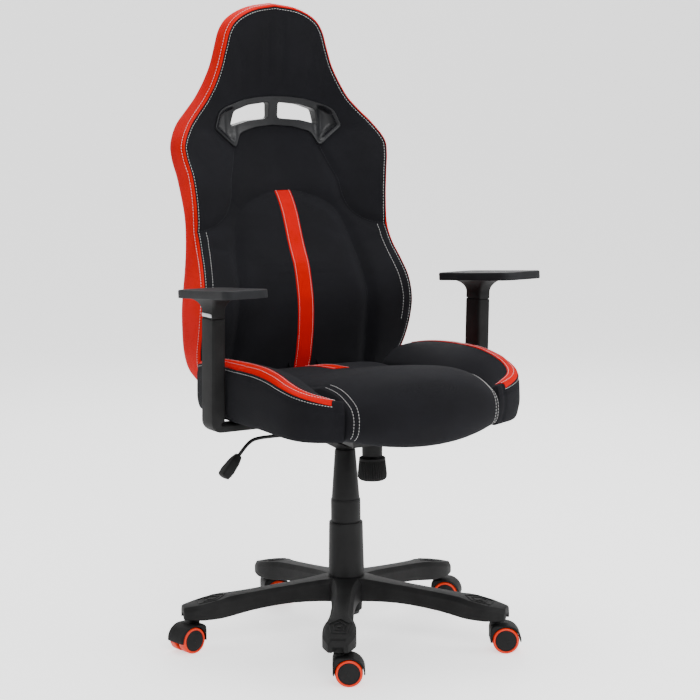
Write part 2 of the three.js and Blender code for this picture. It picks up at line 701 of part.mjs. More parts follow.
// The lever comes out on the sitter's right, runs under the seat and turns down into its grip.
const LEVER_DROP = 18;
const leverBend = new THREE.CatmullRomCurve3(
  [
    [14, 0],
    [-HOUSING_HALF, 0],
    [-LEVER_REACH + 34, 0],
    [-LEVER_REACH + 10, -1],
    [-LEVER_REACH - 8, -LEVER_DROP * 0.6],
    [-LEVER_REACH - 18, -LEVER_DROP * 1.6],
  ].map(([x, z]) => new THREE.Vector3(x, LEVER_Y, LEVER_Z + z)),
);
piece("lever_rod", tube(leverBend, LEVER_RADIUS, 18, 8), BLACK_STEEL, chair);
const bush = piece(
  "lever_bush",
  turned([
    [LEVER_RADIUS + 1.4, -7],
    [LEVER_RADIUS + 4, -7],
    [LEVER_RADIUS + 4, 5],
    [LEVER_RADIUS + 1.4, 5],
    [LEVER_RADIUS + 1.4, -7],
  ]),
  SOFT_PLASTIC,
  chair,
);
bush.rotation.y = -Math.PI / 2;
bush.position.set(-HOUSING_HALF + SHEET / 2, LEVER_Y, LEVER_Z);

// The grip carries on down the bent end: a slim neck widening to a flat paddle.
function leverGrip() {
  const start = leverBend.getPoint(1);
  const along = leverBend.getTangent(1);
  const stations = [
    [0.4, 6, 6],
    [6, 7, 7],
    [14, 10, 8],
    [36, 13, 8],
    [46, 12, 7],
    [50, 8, 5],
  ];
  const rings = stations.map(([out, halfY, halfOther]) => {
    const centre = start.clone().addScaledVector(along, out);
    const across = new THREE.Vector3(along.z, 0, -along.x);
    return roundedRectangle(halfY, halfOther, Math.min(halfY, halfOther) * 0.8, 3).map(([y, o]) => {
      const p = centre.clone().addScaledVector(across, o);
      return [p.x, p.y + y, p.z];
    });
  });
  return loft(rings);
}
piece("lever_grip", leverGrip(), NYLON, chair);

// ---------------------------------------------------------------- seat
function seatBoard(grow = 0) {
  const halfY = (BOARD_REAR - BOARD_FRONT) / 2;
  const outline = roundedRectangle(BOARD_HALF_WIDTH + grow, halfY + grow, 60);
  const board = raised(outline, BOARD_BOTTOM - grow, BOARD_TOP + grow);
  return board.translate(0, (BOARD_REAR + BOARD_FRONT) / 2, 0);
}

// The middle cushion is lofted across the chair: each section runs from its rear over the crown to the nose.
function centreCushion() {
  const sections = [-1, -0.8, -0.45, 0, 0.45, 0.8, 1].map((side) => {
    const x = side * CENTRE_HALF_WIDTH;
    const bow = 1 - side * side;
    const front = NOSE_FRONT + 32 * (1 - bow);
    const crown = SEAT_BOTTOM + 84 + 17 * bow;
    return [
      [x, SEAT_REAR, SEAT_BOTTOM],
      [x, front + 30, BOARD_BOTTOM - 8 * bow + 6],
      [x, front + 6, BOARD_BOTTOM + 18],
      [x, front, SEAT_BOTTOM + 32],
      [x, front + 10, SEAT_BOTTOM + 62],
      [x, front + 36, crown - 14],
      [x, front + 80, crown - 2],
      [x, front + 130, crown],
      [x, -60, crown - 14],
      [x, 60, SEAT_BOTTOM + 68],
      [x, SEAT_REAR - 14, SEAT_BOTTOM + 62],
      [x, SEAT_REAR, SEAT_BOTTOM + 50],
    ];
  });
  return cut(loft(sections), seatBoard(GAP));
}

// A bolster is lofted from its rear to the front, where its outer side rounds in to the nose.
function bolster() {
  const inner = CENTRE_HALF_WIDTH + 1;
  const length = BOLSTER_REAR - BOLSTER_FRONT;
  const stations = [0, 0.08, 0.25, 0.5, 0.7, 0.82, 0.9, 0.96, 1].map((t) => {
    const y = BOLSTER_REAR - t * length;
    const rounding = Math.max(0, (t - 0.62) / 0.38);
    const tail = Math.max(0, 1 - t / 0.3);
    const reach = 1 - Math.sqrt(Math.max(0, 1 - rounding * rounding * 0.985));
    const outer = lerp(SEAT_HALF_WIDTH - 14 * tail, inner + 12, reach);
    const top = SEAT_BOTTOM + BOLSTER_HEIGHT - 40 * rounding * rounding - 14 * tail;
    const width = outer - inner;
    return [
      [inner, y, SEAT_BOTTOM - 3],
      [outer - width * 0.12, y, SEAT_BOTTOM - 3],
      [outer, y, SEAT_BOTTOM + 28],
      [outer, y, top - 30],
      [outer - width * 0.08, y, top - 8],
      [outer - width * 0.3, y, top],
      [inner + width * 0.25, y, top - 16],
      [inner, y, top - 30],
    ];
  });
  return cut(loft(stations), seatBoard(GAP));
}

piece("seat_board", seatBoard(), PLYWOOD, chair);
piece("seat_cushion", centreCushion(), BLACK_FABRIC, chair);
piece("seat_bolster_left", bolster(), BLACK_FABRIC, chair);
piece("seat_bolster_right", outward(bolster().scale(-1, 1, 1)), BLACK_FABRIC, chair);

// ---------------------------------------------------------------- back
// Sections from the bottom up, as shares of the height and millimetres:
// [height, half width, then the y of: the edge in front, the middle in front, the edge behind, the middle behind]
const BACK_SECTIONS = [
  [0, 205, 176, 176, 208, 224],
  [0.03, 222, 166, 172, 222, 234],
  [0.1, 232, 150, 163, 224, 238],
  [0.18, 236, 122, 149, 223, 242],
  [0.27, 234, 128, 162, 224, 248],
  [0.35, 223, 172, 194, 234, 256],
  [0.43, 219, 193, 217, 242, 264],
  [0.5, 219, 194, 238, 256, 276],
  [0.565, 225, 202, 262, 270, 290],
  [0.625, 232, 216, 280, 276, 302],
  [0.665, 219, 230, 284, 294, 316],
  [0.71, 190, 244, 282, 302, 324],
  [0.76, 153, 251, 276, 306, 328],
  [0.83, 131, 256, 270, 304, 329],
  [0.91, 115, 256, 266, 305, 328],
  [0.96, 94, 257, 265, 304, 324],
  [0.985, 68, 260, 266, 302, 318],
  [1, 30, 270, 270, 298, 304],
];

function backBody() {
  const fronts = [-1, -0.9, -0.75, -0.6, -0.45, -0.2, 0, 0.2, 0.45, 0.6, 0.75, 0.9, 1];
  const rears = [0.94, 0.6, 0.2, -0.2, -0.6, -0.94];
  const rings = BACK_SECTIONS.map(([share, half, edge, middle, rearEdge, rearMiddle]) => {
    const z = BACK_BOTTOM + share * BACK_HEIGHT;
    const front = fronts.map((s) => {
      const wing = THREE.MathUtils.smoothstep(Math.abs(s), 0.35, 0.9);
      return [s * (half - 6), lerp(middle, edge, wing), z];
    });
    const rear = rears.map((s) => [s * half, lerp(rearMiddle, rearEdge, s * s), z]);
    const bulge = lerp(edge, rearEdge, 0.45);
    return [...front, [half, bulge, z], ...rear, [-half, bulge, z]];
  });
  return loft(rings);
}

// The vent: an arched opening with two windows. Outlines are in x and height above the back's foot.
const VENT_Z = BACK_BOTTOM + 0.672 * BACK_HEIGHT; // middle of its lower edge
// Closes a half outline whose first and last points lie on the middle line.
function mirrored(half) {
  return [...half, ...half.slice(1, -1).reverse().map(([x, z]) => [-x, z])];
}

function ventOutline() {
  const half = [
    [0, VENT_MIDDLE_HEIGHT],
    [VENT_HALF_WIDTH * 0.45, VENT_MIDDLE_HEIGHT - 6],
    [VENT_HALF_WIDTH * 0.85, VENT_MIDDLE_HEIGHT - 25],
    [VENT_HALF_WIDTH, -4],
    [VENT_HALF_WIDTH * 0.66, -41],
    [VENT_HALF_WIDTH * 0.56, -14],
    [VENT_HALF_WIDTH * 0.3, -4],
    [0, 0],
  ];
  return mirrored(half).map(([x, z]) => [x, VENT_Z + z]);
}

function windowOutline(side) {
  const inner = VENT_PILLAR / 2;
  const outer = VENT_HALF_WIDTH * 0.66;
  return [
    [inner, VENT_WALL],
    [outer, VENT_WALL - 13],
    [outer - 5, VENT_MIDDLE_HEIGHT - VENT_WALL - 15],
    [inner, VENT_MIDDLE_HEIGHT - VENT_WALL + 1],
  ].map(([x, z]) => [side * x, VENT_Z + z]);
}

const LEAN = Math.tan(radians(BACK_LEAN));
const BOARD_LOW = BACK_BOTTOM + 38;
const boardRearAt = (z) => 231 + (z - BOARD_LOW) * LEAN;

// The back board leans in its own plane: an outline in x and height, sheared backwards as it rises.
function leaningSlab(points, inFront = 0, behind = 0) {
  const slab = pushedBack(points, -BACK_BOARD_THICKNESS - inFront, behind);
  const shear = new THREE.Matrix4().set(1, 0, 0, 0, 0, 1, LEAN, boardRearAt(0), 0, 0, 1, 0, 0, 0, 0, 1);
  return outward(slab.applyMatrix4(shear));
}

function boardOutline() {
  const high = BACK_BOTTOM + BACK_HEIGHT * 0.79;
  return mirrored([
    [0, high],
    [106, high],
    [136, high - 42],
    [164, high - 76],
    [184, high - 128],
    [174, high - 250],
    [178, BOARD_LOW + 110],
    [160, BOARD_LOW + 12],
    [148, BOARD_LOW],
    [0, BOARD_LOW],
  ]);
}

function bracket(grow = 0) {
  const low = BOARD_BOTTOM - GAP - BRACKET_THICKNESS - grow;
  const high = BOARD_LOW + 118 + grow;
  const face = (z) => boardRearAt(z) + GAP - grow;
  const bend = low + BRACKET_THICKNESS + 2 * grow;
  const thick = BRACKET_THICKNESS + 2 * grow;
  const profile = [
    [PLATE_DEPTH / 2 - 4 - grow, low],
    [face(low) + thick - 8, low],
    [face(low) + thick, low + 8],
    [face(high) + thick, high],
    [face(high), high],
    [face(bend), bend],
    [PLATE_DEPTH / 2 - 4 - grow, bend],
  ];
  return sideways(profile, -BRACKET_WIDTH / 2 - grow, BRACKET_WIDTH / 2 + grow);
}

const ventHole = pushedBack(grown(ventOutline(), GAP), 150, 400);
const pocket = leaningSlab(grown(boardOutline(), GAP), GAP, 60);
piece("back_cushion", cut(backBody(), pocket, ventHole, bracket(0.6)), BLACK_FABRIC, chair);
piece("back_frame", cut(leaningSlab(boardOutline()), ventHole), PLYWOOD, chair);
piece("back_bracket", bracket(), BLACK_STEEL, chair);
const windows = [windowOutline(1), windowOutline(-1)];
piece("vent_front_bezel", pushedBack(ventOutline(), 262, 298, windows), GLOSS_PLASTIC, chair);
piece("vent_rear_bezel", pushedBack(ventOutline(), 298 + GAP, 334, windows), GLOSS_PLASTIC, chair);

// ---------------------------------------------------------------- arms
const POST_Y = -18; // middle of the post at its foot
const SHIFT = Math.tan(radians(POST_LEAN));
const postYAt = (z) => POST_Y - (z - FOOT_BOTTOM) * SHIFT;

function postSection(halfX, halfY, corner, z) {
  return roundedRectangle(halfX, halfY, corner, 2).map(([x, y]) => [POST_X + x, postYAt(z) + y, z]);
}

function armPost() {
  const sleeve = loft([
    postSection(POST_WIDTH / 2 - 4, POST_DEPTH / 2, 5, FOOT_BOTTOM),
    postSection(POST_WIDTH / 2, POST_DEPTH / 2, 5, FOOT_BOTTOM + 9),
    postSection(POST_WIDTH / 2, POST_DEPTH / 2, 5, POST_TOP),
  ]);
  const foot = block(
    PLATE_WIDTH / 2 + FOOT_TO_PLATE,
    POST_X,
    POST_Y - POST_DEPTH / 2 + 1,
    POST_Y + POST_DEPTH / 2 - 1,
    FOOT_BOTTOM,
    FOOT_BOTTOM + FOOT_THICKNESS,
  );
  const bottom = POST_TOP - TONGUE_LENGTH - 15;
  const room = loft([
    postSection(TONGUE_WIDTH / 2 + GAP, TONGUE_DEPTH / 2 + GAP, 3, bottom),
    postSection(TONGUE_WIDTH / 2 + GAP, TONGUE_DEPTH / 2 + GAP, 3, POST_TOP + 2),
  ]);
  return cut(join(sleeve, foot), room);
}

const PAD_Y = postYAt(NECK_TOP) - PAD_FORWARD;
const padUndersideAt = (y) => NECK_TOP - (y - PAD_Y) * Math.tan(radians(PAD_PITCH));
const BUTTON_Z = POST_TOP + GAP + 6;

function armUpper() {
  const low = POST_TOP + GAP;
  const rings = [
    postSection(POST_WIDTH / 2, POST_DEPTH / 2, 5, low),
    postSection(POST_WIDTH / 2, POST_DEPTH / 2, 5, low + NECK_STRAIGHT),
  ];
  const flareY = 45;
  const flareX = 15;
  for (const s of [0.4, 0.7, 0.88, 1]) {
    const out = 1 - Math.sqrt(1 - s * s * 0.98);
    const halfX = POST_WIDTH / 2 + flareX * out;
    const halfY = POST_DEPTH / 2 + flareY * out;
    const section = roundedRectangle(halfX, halfY, 5 + 8 * out, 2);
    rings.push(
      section.map(([x, y]) => {
        const worldY = postYAt(low + NECK_STRAIGHT) + y;
        return [POST_X + x, worldY, lerp(low + NECK_STRAIGHT, padUndersideAt(worldY) - GAP, s)];
      }),
    );
  }
  const tongue = loft([
    postSection(TONGUE_WIDTH / 2, TONGUE_DEPTH / 2, 3, POST_TOP - TONGUE_LENGTH),
    postSection(TONGUE_WIDTH / 2, TONGUE_DEPTH / 2, 3, low + 2),
  ]);
  const pocketDepth = 9 + BUTTON_TRAVEL;
  const pocket = block(
    POST_X + POST_WIDTH / 2 - pocketDepth,
    POST_X + POST_WIDTH / 2 + 2,
    postYAt(BUTTON_Z) - BUTTON_WIDTH / 2 - GAP,
    postYAt(BUTTON_Z) + BUTTON_WIDTH / 2 + GAP,
    BUTTON_Z - BUTTON_HEIGHT / 2 - GAP,
    BUTTON_Z + BUTTON_HEIGHT / 2 + GAP,
  );
  return cut(join(loft(rings), tongue), pocket);
}

function armPad() {
  return raised(roundedRectangle(PAD_WIDTH / 2, PAD_LENGTH / 2, PAD_CORNER, 5), 0, PAD_THICKNESS);
}

function armButton() {
  const face = POST_X + POST_WIDTH / 2;
  const y = postYAt(BUTTON_Z);
  return block(
    face - 8,
    face + 1.6,
    y - BUTTON_WIDTH / 2,
    y + BUTTON_WIDTH / 2,
    BUTTON_Z - BUTTON_HEIGHT / 2,
    BUTTON_Z + BUTTON_HEIGHT / 2,
  );
}

for (const [side, sign] of [["left", 1], ["right", -1]]) {
  const mirror = (geometry) => (sign > 0 ? geometry : outward(geometry.scale(-1, 1, 1)));
  piece("arm_post_" + side, mirror(armPost()), NYLON, chair);
  piece("arm_upper_" + side, mirror(armUpper()), NYLON, chair);
  piece("arm_button_" + side, mirror(armButton()), BRIGHT_STEEL, chair);
  const pad = piece("arm_pad_" + side, armPad(), SOFT_PLASTIC, chair);
  pad.rotation.set(-radians(PAD_PITCH), 0, 0);
  const holder = new THREE.Group();
  holder.rotation.z = sign * radians(PAD_TOE_OUT);
  holder.position.set(sign * POST_X, PAD_Y, NECK_TOP);
  holder.add(pad);
  chair.add(holder);
}

// ---------------------------------------------------------------- origin: middle of the floor area
chair.updateMatrixWorld(true);
const box = new THREE.Box3().setFromObject(chair, true);
chair.position.set(-(box.min.x + box.max.x) / 2, -(box.min.y + box.max.y) / 2, -box.min.z);

export default chair;
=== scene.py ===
"""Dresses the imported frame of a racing-style swivel chair: padded back and seat, arms, lift, base and castors.

Lengths are metres. The chair faces -Y. Shapes are worked out about the lift's axis and then moved onto it."""

import math

import bmesh
import bpy
import numpy as np
from mathutils import Matrix, Vector, kdtree


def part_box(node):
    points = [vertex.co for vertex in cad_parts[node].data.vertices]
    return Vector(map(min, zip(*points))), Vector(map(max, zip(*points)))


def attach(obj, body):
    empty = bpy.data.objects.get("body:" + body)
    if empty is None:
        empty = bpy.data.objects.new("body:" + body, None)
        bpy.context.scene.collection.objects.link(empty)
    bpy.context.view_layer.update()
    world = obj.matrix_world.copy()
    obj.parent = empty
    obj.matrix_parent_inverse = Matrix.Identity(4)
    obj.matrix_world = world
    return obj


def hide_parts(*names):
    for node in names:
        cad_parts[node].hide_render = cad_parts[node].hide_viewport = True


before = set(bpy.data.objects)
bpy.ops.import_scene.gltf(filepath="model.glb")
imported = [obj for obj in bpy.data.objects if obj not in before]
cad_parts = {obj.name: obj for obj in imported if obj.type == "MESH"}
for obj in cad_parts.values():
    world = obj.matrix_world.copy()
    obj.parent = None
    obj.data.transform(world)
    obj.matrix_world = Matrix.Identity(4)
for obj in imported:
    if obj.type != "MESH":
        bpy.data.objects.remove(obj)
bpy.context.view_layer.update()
MM = 0.001
AXIS_X = sum(corner.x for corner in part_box("lift_column")) / 2
SIDES = ((1, "left"), (-1, "right"))
CASTOR_SIDES = ("front_right", "front_left", "left", "rear", "right")


def low(node):
    """Lowest corner of a frame piece, measured from the lift's axis."""
    return np.array(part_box(node)[0]) - [AXIS_X, 0, 0]


def high(node):
    return np.array(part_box(node)[1]) - [AXIS_X, 0, 0]


def middle(node):
    return (low(node) + high(node)) / 2


# ---------------------------------------------------------------- lines
def rounded(points, closed=False, steps=14):
    """A smooth line through the points, cut finely."""
    p = np.asarray(points, float)
    if closed:
        ext = np.vstack([p[-1:], p, p[:2]])
    else:
        ext = np.vstack([2 * p[0] - p[1], p, 2 * p[-1] - p[-2]])
    gaps = np.sqrt(np.maximum(np.linalg.norm(np.diff(ext, axis=0), axis=1), 1e-9))
    t = np.linspace(0, 1, steps, endpoint=False)[:, None]
    made = []
    for i in range(1, len(ext) - 2):
        a, b, c, d = ext[i - 1 : i + 3]
        ab, bc, cd = gaps[i - 1 : i + 2]
        leave = ((b - a) / ab - (c - a) / (ab + bc) + (c - b) / bc) * bc
        arrive = ((c - b) / bc - (d - b) / (bc + cd) + (d - c) / cd) * bc
        made.append(
            (2 * t**3 - 3 * t**2 + 1) * b
            + (t**3 - 2 * t**2 + t) * leave
            + (3 * t**2 - 2 * t**3) * c
            + (t**3 - t**2) * arrive
        )
    return np.vstack(made if closed else [*made, ext[-2:-1]])


def evenly(line, count, closed=False):
    """The same line with its points evenly spaced."""
    line = np.asarray(line, float)
    if closed:
        line = np.vstack([line, line[:1]])
    along = np.r_[0, np.cumsum(np.linalg.norm(np.diff(line, axis=0), axis=1))]
    at = np.linspace(0, along[-1], count, endpoint=not closed)
    return np.column_stack([np.interp(at, along, line[:, k]) for k in range(line.shape[1])])


def height_curve(pairs):
    """A smooth function through (height, value) pairs given in millimetres."""
    line = rounded(np.array(pairs, float) * MM)
    return lambda z: np.interp(z, line[:, 0], line[:, 1])


def distance_to(line, x, z):
    """Distance from each point (x, z) to a line of (x, z) points."""
    line = np.asarray(line, float)
    best = np.full(np.shape(x), 1e9)
    for (ax, az), (bx, bz) in zip(line[:-1], line[1:]):
        dx, dz = bx - ax, bz - az
        t = np.clip(((x - ax) * dx + (z - az) * dz) / max(dx * dx + dz * dz, 1e-12), 0, 1)
        best = np.minimum(best, np.hypot(x - ax - t * dx, z - az - t * dz))
    return best


def soft_step(low_end, high_end, value):
    t = np.clip((value - low_end) / (high_end - low_end), 0, 1)
    return t * t * (3 - 2 * t)


def hollow(distance, width):
    """1 on a line, falling smoothly to 0 away from it."""
    return np.exp(-((distance / width) ** 2))


# ---------------------------------------------------------------- shells: (points, faces)
def ring_faces(rings, count, closed=True):
    made = []
    across = count if closed else count - 1
    for r in range(rings - 1):
        for i in range(across):
            a, b = r * count + i, r * count + (i + 1) % count
            made.append((a, b, b + count, a + count))
    return made


def loft(rings):
    """A closed shell through rings of points, each end closed by a fan from its middle."""
    rings = [np.asarray(ring, float) for ring in rings]
    count = len(rings[0])
    points = np.vstack([*rings, rings[0].mean(0), rings[-1].mean(0)])
    first, last = len(points) - 2, len(points) - 1
    start = (len(rings) - 1) * count
    faces = ring_faces(len(rings), count)
    faces += [(first, (i + 1) % count, i) for i in range(count)]
    faces += [(last, start + i, start + (i + 1) % count) for i in range(count)]
    return points, faces


def lathe(profile, sides=48):
    """A shell turned about Z from (radius, height) points that start and end on the axis, or close."""
    profile = np.asarray(profile, float)
    angle = np.linspace(0, 2 * math.pi, sides, endpoint=False)
    rings = [
        np.column_stack([r * np.cos(angle), r * np.sin(angle), np.full(sides, z)]) for r, z in profile
    ]
    return np.vstack(rings), ring_faces(len(profile), sides)


def arch(rings):
    """A closed shell through rings that run out along one side of a bow and back along the other."""
    rings = [np.asarray(ring, float) for ring in rings]
    count = len(rings[0])
    faces = ring_faces(len(rings), count)
    for start in (0, (len(rings) - 1) * count):
        faces += [
            (start + i, start + i + 1, start + count - 2 - i, start + count - 1 - i)
            for i in range(count // 2 - 1)
        ]
    return np.vstack(rings), faces


def sheet_shell(grid):
    """An open surface from a grid of points."""
    grid = np.asarray(grid, float)
    rows, columns = grid.shape[:2]
    return grid.reshape(-1, 3), ring_faces(rows, columns, closed=False)


def joined(*shells):
    points, faces, start = [], [], 0
    for p, f in shells:
        points.append(p)
        faces += [tuple(i + start for i in face) for face in f]
        start += len(p)
    return np.vstack(points), faces


def moved(shell, matrix):
    points, faces = shell
    m = np.array(matrix)
    return np.asarray(points) @ m[:3, :3].T + m[:3, 3], faces


def shifted(shell, x=0.0, y=0.0, z=0.0):
    return moved(shell, Matrix.Translation((x, y, z)))


def mirrored(shell, sign):
    points, faces = shell
    return np.asarray(points) * [sign, 1, 1], faces


def rounded_rectangle(half_x, half_y, corner, steps=6):
    made = []
    for quarter, (sx, sy) in enumerate(((1, 1), (-1, 1), (-1, -1), (1, -1))):
        for i in range(steps + 1):
            angle = (quarter + i / steps) * math.pi / 2
            made.append(
                (
                    sx * (half_x - corner) + corner * math.cos(angle),
                    sy * (half_y - corner) + corner * math.sin(angle),
                )
            )
    return np.array(made)


def tube(path, radius, sides=12):
    """A round bar along a path; radius is one value or one for each point."""
    path = np.asarray(path, float)
    radius = np.broadcast_to(radius, len(path))
    side = np.array([0.0, 1.0, 0.0])
    rings = []
    for i, p in enumerate(path):
        along = path[min(i + 1, len(path) - 1)] - path[max(i - 1, 0)]
        along /= np.linalg.norm(along)
        side = side - along * (side @ along)
        side /= np.linalg.norm(side)
        up = np.cross(along, side)
        angle = np.linspace(0, 2 * math.pi, sides, endpoint=False)[:, None]
        rings.append(p + radius[i] * (np.cos(angle) * side + np.sin(angle) * up))
    return loft(rings)


# ---------------------------------------------------------------- pieces
def link(obj):
    bpy.context.scene.collection.objects.link(obj)
    return obj


def tidy_mesh(mesh, merge=1e-6):
    """Merges doubled points and turns the faces of each closed shell outwards."""
    bm = bmesh.new()
    bm.from_mesh(mesh)
    bmesh.ops.remove_doubles(bm, verts=bm.verts, dist=merge)
    bmesh.ops.dissolve_degenerate(bm, dist=merge / 2, edges=bm.edges)
    bmesh.ops.recalc_face_normals(bm, faces=bm.faces)
    bm.to_mesh(mesh)
    bm.free()


def piece(name, shell, finish, smooth_under=40, second=None, chosen=None):
    """A mesh object from a shell, moved onto the lift's axis. Edges sharper than the angle stay crisp.

    Faces marked in chosen take the second finish."""
    points, faces = shell
    mesh = bpy.data.meshes.new(name)
    mesh.from_pydata((np.asarray(points) + [AXIS_X, 0, 0]).tolist(), [], faces)
    mesh.materials.append(finish)
    if second:
        mesh.materials.append(second)
        mesh.polygons.foreach_set("material_index", np.asarray(chosen, np.int32))
    tidy_mesh(mesh)
    mesh.shade_smooth()
    if smooth_under < 180:
        mesh.set_sharp_from_angle(angle=math.radians(smooth_under))
    return link(bpy.data.objects.new(name, mesh))


def settled(obj, name=None):
    """The object as a plain mesh, with its modifiers applied."""
    graph = bpy.context.evaluated_depsgraph_get()
    mesh = bpy.data.meshes.new_from_object(obj.evaluated_get(graph), depsgraph=graph)
    if name is None:
        obj.modifiers.clear()
        obj.data = mesh
        return obj
    made = link(bpy.data.objects.new(name, mesh))
    bpy.data.objects.remove(obj)
    return made


def wear(obj, body, slot, *nodes):
    """Puts a finished piece on its body and hides the frame pieces that it stands for. The slot, the finish's
    name, is not used.
    """
    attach(obj, body)
    if nodes:
        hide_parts(*nodes)
    return obj


def softened(node, finish, width):
    """A copy of a frame piece with its flat facets merged and its edges rounded."""
    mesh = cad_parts[node].data.copy()
    bm = bmesh.new()
    bm.from_mesh(mesh)
    bmesh.ops.remove_doubles(bm, verts=bm.verts, dist=2e-5)
    bmesh.ops.dissolve_limit(bm, angle_limit=math.radians(1.5), verts=bm.verts, edges=bm.edges)
    bm.to_mesh(mesh)
    bm.free()
    mesh.materials.clear()
    mesh.materials.append(finish)
    obj = link(bpy.data.objects.new(node + "_shell", mesh))
    bevel = obj.modifiers.new("rounding", "BEVEL")
    bevel.width = width
    bevel.segments = 2
    bevel.limit_method = "ANGLE"
    bevel.angle_limit = math.radians(34)
    bevel.use_clamp_overlap = True
    settled(obj)
    for attribute in [
        a for a in obj.data.attributes if a.name in ("custom_normal", "sharp_face", "sharp_edge")
    ]:
        obj.data.attributes.remove(attribute)
    obj.data.shade_smooth()
    obj.data.set_sharp_from_angle(angle=math.radians(32))
    return obj


def moulded_plate(name, outlines, thickness, edge, finish):
    """A plate in the XZ plane with rounded edges. The first outline is its rim, the others are openings."""
    curve = bpy.data.curves.new(name, "CURVE")
    curve.dimensions = "2D"
    curve.fill_mode = "BOTH"
    curve.extrude = thickness / 2 - edge
    curve.bevel_depth = edge
    curve.bevel_resolution = 3
    curve.offset = -edge
    for outline in outlines:
        spline = curve.splines.new("POLY")
        spline.points.add(len(outline) - 1)
        for point, (x, z) in zip(spline.points, outline):
            point.co = (x, z, 0, 1)
        spline.use_cyclic_u = True
    obj = settled(link(bpy.data.objects.new(name, curve)), name)
    obj.data.transform(Matrix.Rotation(math.pi / 2, 4, "X"))
    tidy_mesh(obj.data, 1e-5)
    obj.data.materials.clear()
    obj.data.materials.append(finish)
    obj.data.shade_smooth()
    obj.data.set_sharp_from_angle(angle=math.radians(38))
    return obj


def reshape(obj, change):
    """Moves every point of a piece by a function of its (n, 3) places, measured from the lift's axis."""
    count = len(obj.data.vertices)
    places = np.zeros(count * 3, np.float32)
    obj.data.vertices.foreach_get("co", places)
    places = change(places.reshape(-1, 3).astype(float) - [AXIS_X, 0, 0]) + [AXIS_X, 0, 0]
    obj.data.vertices.foreach_set("co", places.astype(np.float32).ravel())
    obj.data.update()
    return obj


# ---------------------------------------------------------------- camera
LENS = 97.4
SENSOR = 36
CAMERA_TARGET = Vector((AXIS_X, 0, 0.5668))
CAMERA_DISTANCE = 3.609
CAMERA_AZIMUTH = math.radians(-29.46)
CAMERA_ELEVATION = math.radians(7.75)
CAMERA_ROLL = math.radians(0.62)


def make_camera():
    data = bpy.data.cameras.new("camera")
    data.lens = LENS
    data.sensor_width = SENSOR
    data.shift_x, data.shift_y = 0.0086, -0.0039
    data.clip_start, data.clip_end = 0.05, 100
    camera = link(bpy.data.objects.new("camera", data))
    flat = math.cos(CAMERA_ELEVATION)
    back = Vector(
        (math.sin(CAMERA_AZIMUTH) * flat, -math.cos(CAMERA_AZIMUTH) * flat, math.sin(CAMERA_ELEVATION))
    )
    turn = (-back).to_track_quat("-Z", "Y").to_matrix() @ Matrix.Rotation(-CAMERA_ROLL, 3, "Z")
    camera.matrix_world = Matrix.Translation(CAMERA_TARGET + back * CAMERA_DISTANCE) @ turn.to_4x4()
    bpy.context.scene.camera = camera


make_camera()


# ---------------------------------------------------------------- shader groups
def add_node(tree, kind, inputs=None, **settings):
    made = tree.nodes.new(kind)
    for key, value in settings.items():
        setattr(made, key, value)
    for key, value in (inputs or {}).items():
        if isinstance(value, bpy.types.NodeSocket):
            tree.links.new(value, made.inputs[key])
        else:
            made.inputs[key].default_value = value
    return made


def math_node(tree, operation, a, b=0.0, clamp=False):
    made = add_node(tree, "ShaderNodeMath", {0: a, 1: b}, operation=operation, use_clamp=clamp)
    return made.outputs[0]


def shader_group(name, inputs, outputs):
    """An empty group with its float inputs and outputs named, and its input and output nodes."""
    tree = bpy.data.node_groups.new(name, "ShaderNodeTree")
    tree.interface.new_socket(name="Vector", in_out="INPUT", socket_type="NodeSocketVector")
    for label, value in inputs.items():
        tree.interface.new_socket(
            name=label, in_out="INPUT", socket_type="NodeSocketFloat"
        ).default_value = value
    for label in outputs:
        tree.interface.new_socket(name=label, in_out="OUTPUT", socket_type="NodeSocketFloat")
    return tree, tree.nodes.new("NodeGroupInput").outputs, tree.nodes.new("NodeGroupOutput").inputs


def weave_group():
    """Crossing threads: a fine height, and a slow mottling of the dye."""
    tree, given, result = shader_group(
        "weave", {"Thread": 0.0014, "Mottle scale": 14.0}, ("Height", "Mottle")
    )
    turns = math_node(tree, "DIVIDE", 2 * math.pi, given["Thread"])
    axes = add_node(tree, "ShaderNodeSeparateXYZ", {0: given["Vector"]}).outputs
    x, y, z = axes[0], axes[1], axes[2]
    sums = (
        math_node(tree, "ADD", math_node(tree, "ADD", x, z), y),
        math_node(tree, "SUBTRACT", math_node(tree, "SUBTRACT", x, z), y),
        math_node(tree, "SUBTRACT", y, z),
    )
    waves = [math_node(tree, "SINE", math_node(tree, "MULTIPLY", s, turns)) for s in sums]
    height = math_node(tree, "MAXIMUM", math_node(tree, "MAXIMUM", waves[0], waves[1]), waves[2])
    mottle = add_node(
        tree, "ShaderNodeTexNoise", {"Vector": given["Vector"], "Scale": given["Mottle scale"], "Detail": 5.0}
    )
    tree.links.new(height, result["Height"])
    tree.links.new(mottle.outputs["Fac"], result["Mottle"])
    return tree


def grain_group():
    """Pebbled hide: rounded cells with creases between them, over slow wrinkles."""
    tree, given, result = shader_group("grain", {"Cell": 0.0016, "Wrinkle": 0.35}, ("Height", "Crease"))
    scale = math_node(tree, "DIVIDE", 1.0, given["Cell"])
    cells = add_node(
        tree, "ShaderNodeTexVoronoi", {"Vector": given["Vector"], "Scale": scale}, feature="SMOOTH_F1"
    )
    cells.inputs["Smoothness"].default_value = 0.35
    folds = add_node(tree, "ShaderNodeTexNoise", {"Vector": given["Vector"], "Scale": 30.0, "Detail": 4.0})
    pebble = math_node(tree, "SUBTRACT", 1.0, cells.outputs["Distance"], clamp=True)
    height = math_node(
        tree, "ADD", pebble, math_node(tree, "MULTIPLY", folds.outputs["Fac"], given["Wrinkle"])
    )
    crease = math_node(tree, "SUBTRACT", cells.outputs["Distance"], 0.45, clamp=True)
    tree.links.new(height, result["Height"])
    tree.links.new(crease, result["Crease"])
    return tree


